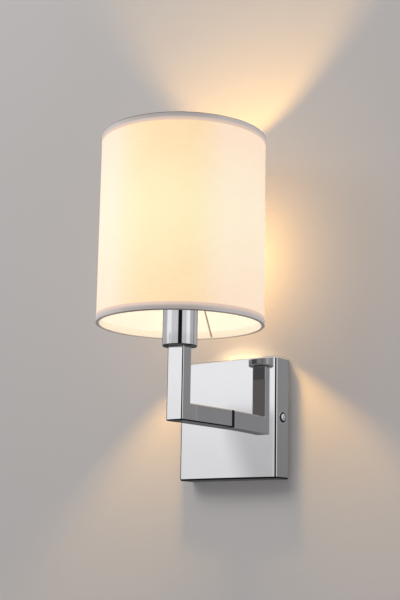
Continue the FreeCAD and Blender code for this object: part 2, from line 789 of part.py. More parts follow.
def lampholder():
    """Base, screw skirt, core, screw shell and centre contact of the lampholder."""
    turned("holder_base", (
        ("post_nipple + thread_gap", "0"), ("holder_boss", "0"),
        ("holder_boss", "holder_boss_height - holder_base_wall"),
        ("holder_base_radius", "holder_cone_height"), ("holder_base_radius", "holder_base_height"),
        ("base_inner", "holder_base_height"), ("base_inner", "holder_cone_height + holder_base_wall / 2"),
        ("holder_boss - holder_base_wall / 2", "holder_boss_height"),
        ("post_nipple + thread_gap", "holder_boss_height")), *POST_PLACE, "cup_floor_top")
    turned("holder_skirt", (
        ("skirt_bore", "skirt_low"), ("skirt_radius", "skirt_low"), ("skirt_radius", "skirt_top"),
        ("skirt_mouth", "skirt_top"), ("skirt_mouth", "core_top"), ("skirt_bore", "core_top")), *POST_PLACE)
    core = "(skirt_bore - holder_fit_gap)"
    turned("holder_core", (
        ("0", "core_low"), (core, "core_low"), (core, "core_top"), ("core_bore", "core_top"),
        ("core_bore", "core_seat"), ("0", "core_seat")), *POST_PLACE)
    shell_inner = "(cap_radius + shell_fit_gap)"
    turned("screw_shell", sleeve_corners(
        shell_inner, shell_inner + " + shell_wall", "core_seat", "core_top"), *POST_PLACE)
    contact = new_body("centre_contact", *POST_PLACE)
    strip = new_sketch(contact, "XZ_Plane")
    reach = "contact_length"
    wall = "contact_wall"
    draw_outline(strip, (
        ("-" + reach, "core_seat"), (reach, "core_seat"), (reach, "seat"), ("-tip_radius", "seat"),
        ("-tip_radius", f"seat - {wall}"), (f"{reach} - {wall}", f"seat - {wall}"),
        (f"{reach} - {wall}", f"core_seat + {wall}"), ("-" + reach, f"core_seat + {wall}")))
    pad(contact, strip, "contact_width", middle=True)


def holder_terminals():
    """The two wire clamps under the lampholder's core, with their screws."""
    body = new_body("holder_terminals", *POST_PLACE)
    half = "holder_terminal_side / 2"
    block = new_sketch(body, "XY_Plane", "terminal_low")
    draw_block(block, f"holder_terminal_offset - {half}", "-" + half,
               f"holder_terminal_offset + {half}", half)
    blocks = pad(body, block, "holder_terminal_height")
    mirror_copy(body, [blocks], "YZ_Plane")
    wire_ways = new_sketch(body, "XY_Plane", "terminal_low")
    for sign in "-+":
        draw_circle(wire_ways, "wire_radius + holder_fit_gap", across=f"0 {sign} holder_terminal_offset")
    pocket(body, wire_ways, "holder_terminal_height / 2", reverse=True)
    level = "terminal_low + holder_terminal_height / 4"
    screw_ways = new_sketch(body, "XZ_Plane")
    for sign in "-+":
        draw_circle(screw_ways, "holder_screw + thread_gap", f"0 {sign} holder_terminal_offset", level)
    pocket(body, screw_ways, "holder_terminal_side", reverse=True)
    screws = new_body("holder_screws", *POST_PLACE)
    shanks = new_sketch(screws, "XZ_Plane", "wire_radius")
    for sign in "-+":
        draw_circle(shanks, "holder_screw", f"0 {sign} holder_terminal_offset", level)
    pad(screws, shanks, "holder_screw_length")


def supply_wires():
    """Both wires, from the terminal block through the arm and post to the lampholder."""
    for label, sign in (("live_wire", "-"), ("neutral_wire", "+")):
        pole = f"0 {sign} pole_pitch / 2"
        spread = f"0 {sign} wire_spread"
        clamp = f"0 {sign} holder_terminal_offset"
        wire_along(label, (
            (pole, "-barrel_axis", "block_low + wire_entry"),
            (pole, "-barrel_axis", "block_low - wire_hang"),
            (spread, "-barrel_axis", "0"),
            (spread, "-arm_length", "0"),
            (spread, "-arm_length", "boss_top + wire_rise"),
            (clamp, "-arm_length", "terminal_low - wire_rise"),
            (clamp, "-arm_length", "terminal_low + holder_terminal_height / 2")))


def shade_cover():
    """The shade's stiff liner and the fabric laminated on it."""
    low = "hem_wall"
    high = "shade_height - hem_wall"
    place = (*POST_PLACE, "shade_low")
    turned("shade_fabric", sleeve_corners("fabric_inner", "fabric_outer", low, high), *place)
    turned("shade_liner", sleeve_corners("liner_inner", "fabric_inner", low, high), *place)


def hem(label, slit, flip):
    """A tape folded round the rim wire and down both sides of the shade's edge."""
    place = (*POST_PLACE, "shade_low + shade_height") if flip else (*POST_PLACE, "shade_low")
    sign = "-" if flip else ""
    outline = (
        ("hem_inner + hem_bevel", "0"), ("shade_radius - hem_bevel", "0"), ("shade_radius", "hem_bevel"),
        ("shade_radius", "hem_height"), ("fabric_outer", "hem_height"), ("fabric_outer", "hem_wall"),
        ("hem_inner + hem_wall", "hem_wall"), ("hem_inner + hem_wall", "roll_top"),
        ("liner_inner", "roll_top"), ("liner_inner", "hem_height"),
        ("liner_inner - hem_wall", "hem_height"), ("liner_inner - hem_wall", "roll_top + hem_wall"),
        ("hem_inner + hem_bevel", "roll_top + hem_wall"), ("hem_inner", "roll_top + hem_wall - hem_bevel"),
        ("hem_inner", "hem_bevel"))
    corners = [(across, up if up == "0" else f"{sign}({up})") for across, up in outline]
    body = turned(label, corners, *place, aim=SPOKE_WAY)
    if slit:
        gap = "(spoke_wire + spoke_slit_gap)"
        opening = new_sketch(body, "YZ_Plane", "liner_inner")
        draw_block(opening, "-" + gap, "rim_height", gap, "roll_top + hem_wall + 2 * spoke_wire")
        cut = pocket(body, opening, "liner_inner - hem_inner + overrun")
        polar_copies(body, cut, SPOKES)


def rim_wires():
    """The two wires that hold the shade's edges open, eight-sided because the tape hides them."""
    half_side = math.tan(math.pi / 8)
    sides = ((half_side, -1), (1, -half_side), (1, half_side), (half_side, 1))
    corner_shares = sides + tuple((-across, -up) for across, up in sides)
    corners = [(f"rim_circle + rim_wire * ({across:.9f})", f"rim_wire * ({up:.9f})")
               for across, up in corner_shares]
    turned("bottom_rim_wire", corners, *POST_PLACE, "shade_low + rim_height")
    turned("top_rim_wire", corners, *POST_PLACE, "shade_low + shade_height - rim_height")


def draw_spoke(sketch):
    """A spoke's line: level from the fitter, round the knee, then down to the rim wire."""
    start = spot("fitter_radius", "0", "0")
    entry = spot("spoke_entry", "0", "0")
    middle = spot("spoke_entry", "-spoke_bend", "0")
    leave_across = "spoke_knee + spoke_tuck * spoke_run / spoke_slope"
    leave = spot(leave_across, "-spoke_tuck * spoke_fall / spoke_slope", "0")
    end_across = "rim_circle - (rim_wire + spoke_seat_gap) * spoke_run / spoke_slope"
    end_up = "-(spoke_fall - (rim_wire + spoke_seat_gap) * spoke_fall / spoke_slope)"
    end = spot(end_across, end_up, "0")
    circle = Part.Circle(middle, Vector(0, 0, 1), length("spoke_bend"))
    leave_turn = math.atan2(leave.y - middle.y, leave.x - middle.x)
    level = sketch.addGeometry(Part.LineSegment(start, entry), False)
    arc = sketch.addGeometry(Part.ArcOfCircle(circle, leave_turn, math.pi / 2), False)
    fall = sketch.addGeometry(Part.LineSegment(leave, end), False)
    sketch.addConstraint(Sketcher.Constraint("Coincident", arc, 2, level, 2))
    sketch.addConstraint(Sketcher.Constraint("Coincident", arc, 1, fall, 1))
    pin(sketch, level, 1, "fitter_radius", "0", start)
    pin(sketch, level, 2, "spoke_entry", "0", entry)
    pin(sketch, arc, 3, "spoke_entry", "-spoke_bend", middle)
    index = sketch.addConstraint(Sketcher.Constraint("DistanceX", -1, 1, fall, 1, leave.x))
    sketch.setExpression(f"Constraints[{index}]", cells(leave_across))
    pin(sketch, fall, 2, end_across, end_up, end)


def carrier():
    """The fitter ring and the bent spokes from it to the lower rim wire."""
    turned("fitter_ring", sleeve_corners("fitter_hole", "fitter_radius", "0", "fitter_wall"),
           *POST_PLACE, "cup_top")
    for number in range(SPOKES):
        aim = Rotation(Vector(0, 0, 1), SPOKE_TURN + FULL_TURN * number / SPOKES)
        body = new_body(f"shade_spoke_{number + 1}", *POST_PLACE, "spoke_level", aim=aim)
        line = new_sketch(body, "XZ_Plane")
        draw_spoke(line)
        section = new_sketch(body, "YZ_Plane", "fitter_radius")
        draw_circle(section, "spoke_wire")
        doc.recompute()
        pipe = body.newObject("PartDesign::AdditivePipe", "Wire")
        pipe.Profile = section
        pipe.Spine = line
        doc.recompute()
        even = math.pi * length("spoke_wire") ** 2 * sum(edge.Length for edge in line.Shape.Edges)
        print(body.Label, "volume over section times length", round(body.Shape.Volume / even, 4))


def clamp_ring():
    """The ring that screws down the lampholder's skirt onto the fitter, ribbed for the fingers."""
    body = turned("clamp_ring", (
        ("clamp_bore", "0"), ("clamp_flange", "0"), ("clamp_flange", "clamp_flange_wall"),
        ("clamp_outer", "clamp_flange_wall"), ("clamp_outer", "clamp_height"),
        ("clamp_bore", "clamp_height")), *POST_PLACE, "clamp_low")
    rib = new_sketch(body, "XY_Plane")
    draw_block(rib, "clamp_outer - clamp_wall / 2", "-clamp_rib / 2", "clamp_outer + clamp_rib_depth",
               "clamp_rib / 2")
    ribs = pad(body, rib, "clamp_height - clamp_wall / 2")
    polar_copies(body, ribs, CLAMP_RIBS)


def bulb_cap():
    """The bulb's centre tip, glass insulator and metal screw cap."""
    place = (*POST_PLACE, "seat")
    turned("bulb_tip", (
        ("0", "0"), ("tip_radius", "0"), ("tip_radius", "2 * tip_height"), ("0", "2 * tip_height")), *place)
    turned("bulb_insulator", (
        ("tip_radius", "tip_height"), ("insulator_tip", "tip_height"), ("cap_inner", "insulator_top"),
        ("0", "insulator_top"), ("0", "2 * tip_height"), ("tip_radius", "2 * tip_height")), *place)
    turned("bulb_screw_cap", (
        ("cap_inner", "insulator_top"), ("cap_radius", "insulator_top + cap_wall"),
        ("cap_radius", "cap_length"), ("cap_flare", "cap_top - cap_wall"), ("cap_flare", "cap_top"),
        ("cap_flare - cap_wall", "cap_top"), ("cap_inner", "cap_length + cap_wall")), *place)


def bulb_collar():
    """The white collar between cap and globe, a hollow shell with a spigot in the cap."""
    spigot = "(cap_inner - collar_fit_gap)"
    wall = "collar_wall"
    turned("bulb_collar", (
        (f"{spigot} - {wall}", "cap_length - collar_lap"), (spigot, "cap_length - collar_lap"),
        (spigot, "cap_top"), ("cap_flare + collar_fit_gap", "cap_top"),
        (f"neck_radius * {COLLAR_WAIST_SHARE}", f"cap_top + collar_height * {COLLAR_RISE_SHARE}"),
        ("neck_radius", "collar_top"), (f"neck_radius - {wall}", "collar_top"),
        (f"neck_radius * {COLLAR_WAIST_SHARE} - {wall}", f"cap_top + collar_height * {COLLAR_RISE_SHARE}"),
        (f"{spigot} - {wall}", f"cap_top + {wall}")), *POST_PLACE, "seat")


def bulb_light():
    """The board on the collar, its ring of chips and the opal globe over them."""
    place = (*POST_PLACE, "seat + collar_top")
    board = new_body("led_board", *place)
    disc = new_sketch(board, "XY_Plane")
    draw_circle(disc, "board_radius")
    pad(board, disc, "board_wall")
    chips = new_body("led_chips", *POST_PLACE, "seat + board_top")
    chip = new_sketch(chips, "XY_Plane")
    draw_block(chip, "chip_circle - chip_side / 2", "-chip_side / 2", "chip_circle + chip_side / 2",
               "chip_side / 2")
    first = pad(chips, chip, "chip_height")
    polar_copies(chips, first, LED_CHIPS)

    ball = doc.addObject("Part::Sphere", "Ball")
    ball.setExpression("Radius", cells("globe_radius"))
    hollow = doc.addObject("Part::Sphere", "Hollow")
    hollow.setExpression("Radius", cells("globe_radius - globe_wall"))
    shell = doc.addObject("Part::Cut", "Shell")
    shell.Base = ball
    shell.Tool = hollow
    neck = doc.addObject("Part::Cylinder", "Neck")
    neck.setExpression("Radius", cells("globe_radius"))
    neck.setExpression("Height", cells("globe_radius"))
    neck.setExpression("Placement.Base.z", cells("-globe_neck - globe_radius"))
    globe = doc.addObject("Part::Cut", "Globe")
    globe.Base = shell
    globe.Tool = neck
    keep(globe, "bulb_globe", *POST_PLACE, "seat + globe_middle")
    doc.recompute()


def check_and_write():
    """Stops at a failed feature or a bad shape, then writes each piece to its own file."""
    doc.recompute()
    for item in doc.Objects:
        if "Invalid" in item.State or "Error" in item.State:
            raise RuntimeError(f"{item.Label} failed: {item.State}")
    for piece in nodes:
        if piece.Shape.isNull() or not piece.Shape.isValid() or not piece.Shape.Solids:
            raise RuntimeError(f"{piece.Label} has no sound solid")
    os.makedirs("parts", exist_ok=True)
    for piece in nodes:
        piece.Shape.exportStep(f"parts/{piece.Label}.step")
        print(piece.Label, len(piece.Shape.Solids), round(piece.Shape.Volume, 1))


def build():
    fill_sheet()
    backplate_cover()
    cover_screws()
    wall_strap()
    terminal_block()
    earth_bond()
    arm_fixing()
    arm_gasket()
    arm_tube()
    post_tube()
    end_plugs()
    cup_and_nipple()
    lampholder()
    holder_terminals()
    supply_wires()
    shade_cover()
    hem("bottom_hem", slit=True, flip=False)
    hem("top_hem", slit=False, flip=True)
    rim_wires()
    carrier()
    clamp_ring()
    bulb_cap()
    bulb_collar()
    bulb_light()
    check_and_write()


build()
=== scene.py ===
import json
import math

import bmesh
import bpy
from mathutils import Matrix, Vector


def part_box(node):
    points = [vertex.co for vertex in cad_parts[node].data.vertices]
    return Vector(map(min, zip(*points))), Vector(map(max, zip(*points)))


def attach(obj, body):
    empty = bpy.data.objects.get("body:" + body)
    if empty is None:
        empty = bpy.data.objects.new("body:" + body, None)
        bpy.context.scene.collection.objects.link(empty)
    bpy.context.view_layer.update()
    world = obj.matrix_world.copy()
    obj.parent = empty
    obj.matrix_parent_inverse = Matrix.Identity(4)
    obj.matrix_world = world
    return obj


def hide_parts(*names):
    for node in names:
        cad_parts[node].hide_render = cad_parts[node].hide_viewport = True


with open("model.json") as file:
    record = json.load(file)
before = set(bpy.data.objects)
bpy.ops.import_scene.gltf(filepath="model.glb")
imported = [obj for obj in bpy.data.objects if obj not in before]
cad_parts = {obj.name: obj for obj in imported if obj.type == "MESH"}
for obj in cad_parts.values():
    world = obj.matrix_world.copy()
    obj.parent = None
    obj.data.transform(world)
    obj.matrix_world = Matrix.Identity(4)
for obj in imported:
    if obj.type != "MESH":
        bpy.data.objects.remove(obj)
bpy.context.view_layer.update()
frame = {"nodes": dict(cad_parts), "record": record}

# A polished wall light with a lit drum shade. Lengths are in metres, in the frame's own axes:
# the wall is Y = 0, the room lies towards -Y and Z points up.

MM = 0.001
BODY_OF = {node: body for body, nodes in frame["record"]["behaviour"]["bodies"].items()
           for node in nodes}
SLOT_OF = {row["node"]: row["material_slot"] for row in frame["record"]["subparts"]}

cup_low, cup_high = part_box("socket_cup")
POST_AXIS = Vector(((cup_low.x + cup_high.x) / 2, (cup_low.y + cup_high.y) / 2, 0))
shade_low, shade_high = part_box("shade_fabric")
SHADE_MIDDLE = (shade_low.z + shade_high.z) / 2
SHADE_HALF = (shade_high.z - shade_low.z) / 2
globe_low, globe_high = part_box("bulb_globe")
GLOBE_MIDDLE = globe_high.z - (globe_high.x - globe_low.x) / 2


# Colours are in linear light, with an alpha of 1.

def linear(red, green, blue):
    """A colour as a paint chart gives it, from 0 to 255."""
    def one(value):
        value /= 255
        return value / 12.92 if value <= 0.04045 else ((value + 0.055) / 1.055) ** 2.4
    return (one(red), one(green), one(blue), 1.0)


def grey(level):
    return (level, level, level, 1.0)


def dimmed(colour, share):
    """This share of a colour's light."""
    return tuple(channel * share for channel in colour[:3]) + (1.0,)


BLACK = grey(0.0)


# Node trees: each helper adds a node or two and gives back what comes out.

def feed(tree, socket, value):
    """Links an output to a socket, or sets the socket's own value."""
    if isinstance(value, bpy.types.NodeSocket):
        tree.links.new(value, socket)
    else:
        socket.default_value = value


def feed_named(tree, item, **values):
    """Feeds a node's inputs. An underscore in a name stands for a space."""
    for name, value in values.items():
        feed(tree, item.inputs[name.replace("_", " ")], value)


def node(tree, kind, inputs=None, **settings):
    """A node with these settings, and with inputs fed by name or by number."""
    made = tree.nodes.new(kind)
    for name, value in settings.items():
        setattr(made, name, value)
    for name, value in (inputs or {}).items():
        feed(tree, made.inputs[name], value)
    return made


def math_node(tree, operation, *values):
    return node(tree, "ShaderNodeMath", dict(enumerate(values)), operation=operation).outputs[0]


def vector_math(tree, operation, *values):
    made = node(tree, "ShaderNodeVectorMath", dict(enumerate(values)), operation=operation)
    return made.outputs["Value" if operation == "DOT_PRODUCT" else "Vector"]


def distance(tree, value, middle):
    return math_node(tree, "ABSOLUTE", math_node(tree, "SUBTRACT", value, middle))


def mapped(tree, value, low, high, to_low=0.0, to_high=1.0):
    """A value's place between low and high, eased at both ends."""
    return node(tree, "ShaderNodeMapRange", {
        "Value": value, "From Min": low, "From Max": high, "To Min": to_low, "To Max": to_high},
        interpolation_type="SMOOTHSTEP").outputs["Result"]


def mixed(tree, share, first, second):
    made = node(tree, "ShaderNodeMix", {"Factor": share, 6: first, 7: second}, data_type="RGBA")
    return made.outputs[2]


def split(tree, vector):
    return node(tree, "ShaderNodeSeparateXYZ", {"Vector": vector}).outputs


def stretched(tree, vector, scale, turn=(0.0, 0.0, 0.0)):
    return node(tree, "ShaderNodeMapping", {
        "Vector": vector, "Scale": scale, "Rotation": turn}).outputs[0]


def noise(tree, vector, scale, detail):
    return node(tree, "ShaderNodeTexNoise", {
        "Vector": vector, "Scale": scale, "Detail": detail}).outputs[0]


def attribute(tree, name):
    return node(tree, "ShaderNodeAttribute", attribute_name=name).outputs["Fac"]


def new_group(name, inputs, outputs):
    """A shader group whose inputs are (name, value) pairs and whose outputs are names."""
    group = bpy.data.node_groups.new(name, "ShaderNodeTree")
    for label, value in inputs:
        kind = "NodeSocketVector" if isinstance(value, tuple) else "NodeSocketFloat"
        socket = group.interface.new_socket(label, in_out="INPUT", socket_type=kind)
        socket.default_value = value
    for label in outputs:
        group.interface.new_socket(label, in_out="OUTPUT", socket_type="NodeSocketFloat")
    given = group.nodes.new("NodeGroupInput").outputs
    return group, given, group.nodes.new("NodeGroupOutput").inputs


ORIGIN = (0.0, 0.0, 0.0)


def polish_group():
    """Hairline scratches and a faint haze, as wiping leaves on plated metal."""
    group, given, out = new_group(
        "polish", [("Position", ORIGIN), ("Scratch scale", 900.0), ("Haze scale", 35.0)],
        ["Haze", "Height"])
    haze = noise(group, given["Position"], given["Haze scale"], 3.0)
    wiped = stretched(group, given["Position"], (1.0, 0.04, 0.3), (0.3, 0.5, 0.8))
    scratches = noise(group, wiped, given["Scratch scale"], 2.0)
    group.links.new(haze, out["Haze"])
    group.links.new(mapped(group, scratches, 0.55, 0.75), out["Height"])
    return group


def weave_group():
    """Plain weave on a cloth map in metres: threads over and under, with uneven yarn."""
    group, given, out = new_group(
        "weave", [("Map", ORIGIN), ("Threads per metre", 1800.0), ("Unevenness", 0.35)],
        ["Height", "Slub"])
    place = split(group, given["Map"])
    waves = []
    for axis in "XY":
        threads = math_node(group, "MULTIPLY", place[axis], given["Threads per metre"])
        waves.append(math_node(group, "SINE", math_node(group, "MULTIPLY", threads, math.pi)))
    slub = noise(group, stretched(group, given["Map"], (90.0, 900.0, 1.0)), 1.0, 3.0)
    crossed = math_node(group, "ABSOLUTE", math_node(group, "MULTIPLY", *waves))
    uneven = math_node(group, "MULTIPLY", slub, given["Unevenness"])
    group.links.new(math_node(group, "ADD", crossed, uneven), out["Height"])
    group.links.new(slub, out["Slub"])
    return group


def skin_group():
    """The fine spark-eroded skin and slight mottling of a moulded or painted surface."""
    group, given, out = new_group(
        "moulded skin", [("Position", ORIGIN), ("Grain scale", 2200.0), ("Mottle scale", 60.0)],
        ["Tone", "Height"])
    grain = noise(group, given["Position"], given["Grain scale"], 1.0)
    mottle = noise(group, given["Position"], given["Mottle scale"], 2.0)
    group.links.new(mottle, out["Tone"])
    group.links.new(grain, out["Height"])
    return group


POLISH = polish_group()
WEAVE = weave_group()
SKIN = skin_group()


def placed(tree, group, **inputs):
    made = tree.nodes.new("ShaderNodeGroup")
    made.node_tree = group
    feed_named(tree, made, **inputs)
    return made.outputs


def new_material(name):
    """A material, its tree, its surface shader and its object coordinates."""
    material = bpy.data.materials.new(name)
    material.use_nodes = True
    tree = material.node_tree
    position = tree.nodes.new("ShaderNodeTexCoord").outputs["Object"]
    return material, tree, tree.nodes["Principled BSDF"], position


def bump(tree, shader, height, depth, strength=1.0):
    made = node(tree, "ShaderNodeBump", {"Height": height, "Distance": depth, "Strength": strength})
    tree.links.new(made.outputs[0], shader.inputs["Normal"])


FINE_DEPTH = 0.02 * MM
HAZE_SPAN = (0.35, 0.75)
NOISE_SPAN = (0.3, 0.7)


def metal(name, colour, rough, haze, scratch=0.0):
    """Bare metal: a haze that roughens it a little here and there, and hairlines."""
    material, tree, shader, position = new_material(name)
    wear = placed(tree, POLISH, Position=position)
    feed_named(tree, shader, Metallic=1.0,
               Base_Color=mixed(tree, wear["Haze"], colour, dimmed(colour, 0.94)),
               Roughness=mapped(tree, wear["Haze"], *HAZE_SPAN, rough, rough + haze))
    if scratch:
        bump(tree, shader, wear["Height"], scratch)
    return material


def moulded(name, colour, rough, **sockets):
    """Moulded plastic, enamel or insulation."""
    material, tree, shader, position = new_material(name)
    skin = placed(tree, SKIN, Position=position)
    feed_named(tree, shader,
               Base_Color=mixed(tree, skin["Tone"], colour, dimmed(colour, 0.92)),
               Roughness=mapped(tree, skin["Tone"], *NOISE_SPAN, rough, rough + 0.08), **sockets)
    bump(tree, shader, skin["Height"], FINE_DEPTH)
    return material


# The shade's glow is painted light: emission that stands in for the bulb's light through the cloth,
# strongest level with the bulb and warmer towards both rims.
# It is deepest on the side that faces the room's dark corner, and paler round from there, as
# painted room light on the cloth.
GLOW_HEIGHT = GLOBE_MIDDLE + 6 * MM
GLOW_REACH = 95 * MM
GLOW_WANDER = 8 * MM
DEEP_HOT = (0.60, 0.485, 0.175, 1.0)
DEEP_RIM = (0.59, 0.345, 0.075, 1.0)
PALE_HOT = (0.61, 0.495, 0.31, 1.0)
PALE_RIM = (0.60, 0.405, 0.25, 1.0)
DEEP_WAY = Vector((math.cos(math.radians(-63)), math.sin(math.radians(-63)), 0.0))
PALE_FROM, PALE_FULL = 0.995, 0.72
LAP_GLOW = (0.30, 0.12, 0.03, 1.0)
CLOTH_WHITE = linear(214, 208, 202)
CLOTH_DEPTH = 0.3 * MM

# Painted light on the foil, as emission: faint in the middle and stronger towards the rims.
FOIL_MIDDLE_GLOW = (0.06, 0.06, 0.05, 1.0)
FOIL_RIM_GLOW = (0.38, 0.37, 0.30, 1.0)

# The hem tape covers the rim wire over WIRE_BAND of its height, and doubles the shade beyond it.
WIRE_BAND = 3.4 * MM
# Painted light on the tape, as emission: over the wire on the pale side, where it doubles the
# shade, and inside towards the bulb.
TAPE_PALE_GLOW = (0.12, 0.11, 0.11, 1.0)
TAPE_DOUBLED_GLOW = (0.38, 0.23, 0.14, 1.0)
TAPE_INSIDE_GLOW = (0.55, 0.46, 0.32, 1.0)
# Painted shade: a darker line along the tape's outer edge.
TAPE_BRINK_PAINTED_SHADE = linear(120, 104, 98)
TAPE_DEPTH = 0.05 * MM

GLOBE_NECK_GLOW = (0.80, 0.66, 0.50, 1.0)
GLOBE_GLOW = (1.0, 0.91, 0.79, 1.0)
GLOBE_STRENGTH = 4.5
GLOBE_NECK = 12 * MM


def glow(tree, position, hot, rim):
    """The painted glow's colour from the hot middle to the rims, a little clouded."""
    away = distance(tree, split(tree, position)["Z"], GLOW_HEIGHT)
    cloud = noise(tree, position, 28.0, 3.0)
    wander = mapped(tree, cloud, *NOISE_SPAN, -GLOW_WANDER, GLOW_WANDER)
    share = mapped(tree, math_node(tree, "ADD", away, wander), 0.0, GLOW_REACH)
    return mixed(tree, share, hot, rim)


def painted_paleness(tree, position):
    """How far round the shade a point is from its deepest side, from 0 to 1: where painted room
    light pales the glow.
    """
    from_axis = vector_math(tree, "ADD", position, -POST_AXIS)
    level = vector_math(tree, "MULTIPLY", from_axis, (1.0, 1.0, 0.0))
    outward = vector_math(tree, "NORMALIZE", level)
    along = vector_math(tree, "DOT_PRODUCT", outward, DEEP_WAY)
    return mapped(tree, along, PALE_FROM, PALE_FULL)


SEAM_HEADING = math.radians(90)
SEAM_HALF = 4 * MM
SEAM_EDGE = 0.2 * MM


def cloth_map(tree):
    return node(tree, "ShaderNodeUVMap", uv_map="cloth").outputs[0]


def seam(tree, cloth):
    """The lap where the cloth's two ends are glued, behind: 1 on it."""
    middle = SEAM_HEADING * (shade_high.x - shade_low.x) / 2
    away = distance(tree, split(tree, cloth)["X"], middle)
    return mapped(tree, away, SEAM_HALF - SEAM_EDGE, SEAM_HALF + SEAM_EDGE, 1.0, 0.0)


def shade_cloth():
    """White cotton, with the bulb's warm light through it painted on as emission."""
    material, tree, shader, position = new_material("lit cotton")
    cloth = cloth_map(tree)
    weave = placed(tree, WEAVE, Map=cloth)
    deep = glow(tree, position, DEEP_HOT, DEEP_RIM)
    pale = glow(tree, position, PALE_HOT, PALE_RIM)
    warm = mixed(tree, painted_paleness(tree, position), deep, pale)
    thick = mapped(tree, weave["Slub"], 0.3, 0.8)
    uneven = mixed(tree, thick, warm, mixed(tree, 0.07, warm, BLACK))
    lap = seam(tree, cloth)
    # The lap's doubled cloth gets a painted glow of its own.
    lit = mixed(tree, math_node(tree, "MULTIPLY", lap, 0.35), uneven, LAP_GLOW)
    feed_named(tree, shader,
               Base_Color=mixed(tree, weave["Slub"], CLOTH_WHITE, dimmed(CLOTH_WHITE, 0.9)),
               Emission_Color=lit, Emission_Strength=1.0,
               Roughness=0.85, Sheen_Weight=0.08, Sheen_Roughness=0.4)
    threads = math_node(tree, "MULTIPLY", weave["Height"], 0.2)
    bump(tree, shader, math_node(tree, "ADD", threads, lap), CLOTH_DEPTH, 0.6)
    return material


def shade_lining():
    """The satin foil inside, lit straight by the bulb, with more light painted on as emission, most
    towards the rims.
    """
    material, tree, shader, position = new_material("lit foil")
    skin = placed(tree, SKIN, Position=position)
    feed_named(tree, shader,
               Base_Color=mixed(tree, skin["Tone"], linear(250, 244, 232), linear(244, 236, 222)),
               Emission_Color=glow(tree, position, FOIL_MIDDLE_GLOW, FOIL_RIM_GLOW),
               Emission_Strength=1.0, Roughness=0.55)
    bump(tree, shader, skin["Height"], FINE_DEPTH)
    return material


def hem_tape():
    """Cloth tape with painted light and shade: a painted glow over the rim wire on the pale side, a
    painted glow where it doubles the shade, painted bright light inside, and a painted dark line of
    shade along its outer edge.
    """
    material, tree, shader, position = new_material("hem tape")
    weave = placed(tree, WEAVE, Map=cloth_map(tree), Threads_per_metre=2200.0)
    away = distance(tree, split(tree, position)["Z"], SHADE_MIDDLE)
    wire = SHADE_HALF - WIRE_BAND
    doubled = mapped(tree, away, wire - 2.4 * MM, wire + 1.4 * MM, 1.0, 0.0)
    over_wire = mixed(tree, painted_paleness(tree, position), BLACK, TAPE_PALE_GLOW)
    outside = mixed(tree, doubled, over_wire, TAPE_DOUBLED_GLOW)
    tape = mixed(tree, weave["Slub"], linear(205, 199, 197), linear(190, 184, 182))
    brink_shade = mapped(tree, away, SHADE_HALF - 0.5 * MM, SHADE_HALF - 0.1 * MM)
    inside = attribute(tree, "facing_bulb")
    feed_named(tree, shader, Base_Color=mixed(tree, brink_shade, tape, TAPE_BRINK_PAINTED_SHADE),
               Emission_Color=mixed(tree, inside, outside, TAPE_INSIDE_GLOW),
               Emission_Strength=1.0, Roughness=0.8, Sheen_Weight=0.2, Sheen_Roughness=0.4)
    bump(tree, shader, weave["Height"], TAPE_DEPTH, 0.6)
    return material


def opal_globe():
    """White glass lit from inside, a little darker by its neck."""
    material, tree, shader, position = new_material("opal globe")
    skin = placed(tree, SKIN, Position=position)
    from_neck = mapped(tree, split(tree, position)["Z"], globe_low.z, globe_low.z + GLOBE_NECK)
    feed_named(tree, shader,
               Base_Color=mixed(tree, skin["Tone"], linear(250, 246, 236), linear(244, 238, 226)),
               Emission_Color=mixed(tree, from_neck, GLOBE_NECK_GLOW, GLOBE_GLOW),
               Emission_Strength=GLOBE_STRENGTH, Roughness=0.35)
    return material


def brushed_plate():
    """Zinc-plated sheet, rolled along its length and slightly clouded."""
    material, tree, shader, position = new_material("zinc sheet")
    rolled = stretched(tree, position, (0.05, 1.0, 1.0))
    wear = placed(tree, POLISH, Position=rolled, Scratch_scale=2500.0, Haze_scale=90.0)
    feed_named(tree, shader, Metallic=1.0,
               Base_Color=mixed(tree, wear["Haze"], linear(196, 198, 200), linear(166, 168, 166)),
               Roughness=mapped(tree, wear["Haze"], *NOISE_SPAN, 0.28, 0.45))
    bump(tree, shader, wear["Height"], FINE_DEPTH)
    return material


def earth_sleeve():
    """Green insulation with a yellow stripe along it."""
    material, tree, shader, position = new_material("green and yellow sleeve")
    slope = stretched(tree, position, (1.0, 1.0, 1.0), (0.0, 0.6, 0.4))
    bands = node(tree, "ShaderNodeTexWave", {"Vector": slope, "Scale": 260.0, "Distortion": 0.4})
    stripe = mapped(tree, bands.outputs["Fac"], 0.45, 0.55)
    feed_named(tree, shader, Roughness=0.42,
               Base_Color=mixed(tree, stripe, linear(52, 120, 48), linear(226, 200, 50)))
    bump(tree, shader, placed(tree, SKIN, Position=position)["Height"], FINE_DEPTH)
    return material


def black_glass():
    """The dark mottled glass round the cap's contact."""
    material, tree, shader, position = new_material("black glass")
    skin = placed(tree, SKIN, Position=position, Mottle_scale=300.0)
    feed_named(tree, shader, Roughness=0.12, Coat_Weight=0.4, Coat_Roughness=0.05,
               Base_Color=mixed(tree, skin["Tone"], linear(22, 20, 26), linear(40, 36, 44)))
    return material


def chrome(name, bright, dull):
    """Mirror plating, with a painted dark line on its narrow rounded edges: a painted reflection of
    dark surroundings, left out of what other mirrors see.
    """
    material, tree, shader, position = new_material(name)
    wear = placed(tree, POLISH, Position=position)
    mirrored = node(tree, "ShaderNodeLightPath").outputs["Is Glossy Ray"]
    # The painted dark edge line, which mirrored rays don't see.
    line = math_node(tree, "MULTIPLY", attribute(tree, "painted_dark_edge"),
                     math_node(tree, "SUBTRACT", 1.0, mirrored))
    plating = mixed(tree, wear["Haze"], bright, dull)
    feed_named(tree, shader, Metallic=1.0, Base_Color=mixed(tree, line, plating, grey(0.02)),
               Roughness=mapped(tree, wear["Haze"], *HAZE_SPAN, 0.02, 0.05))
    return material


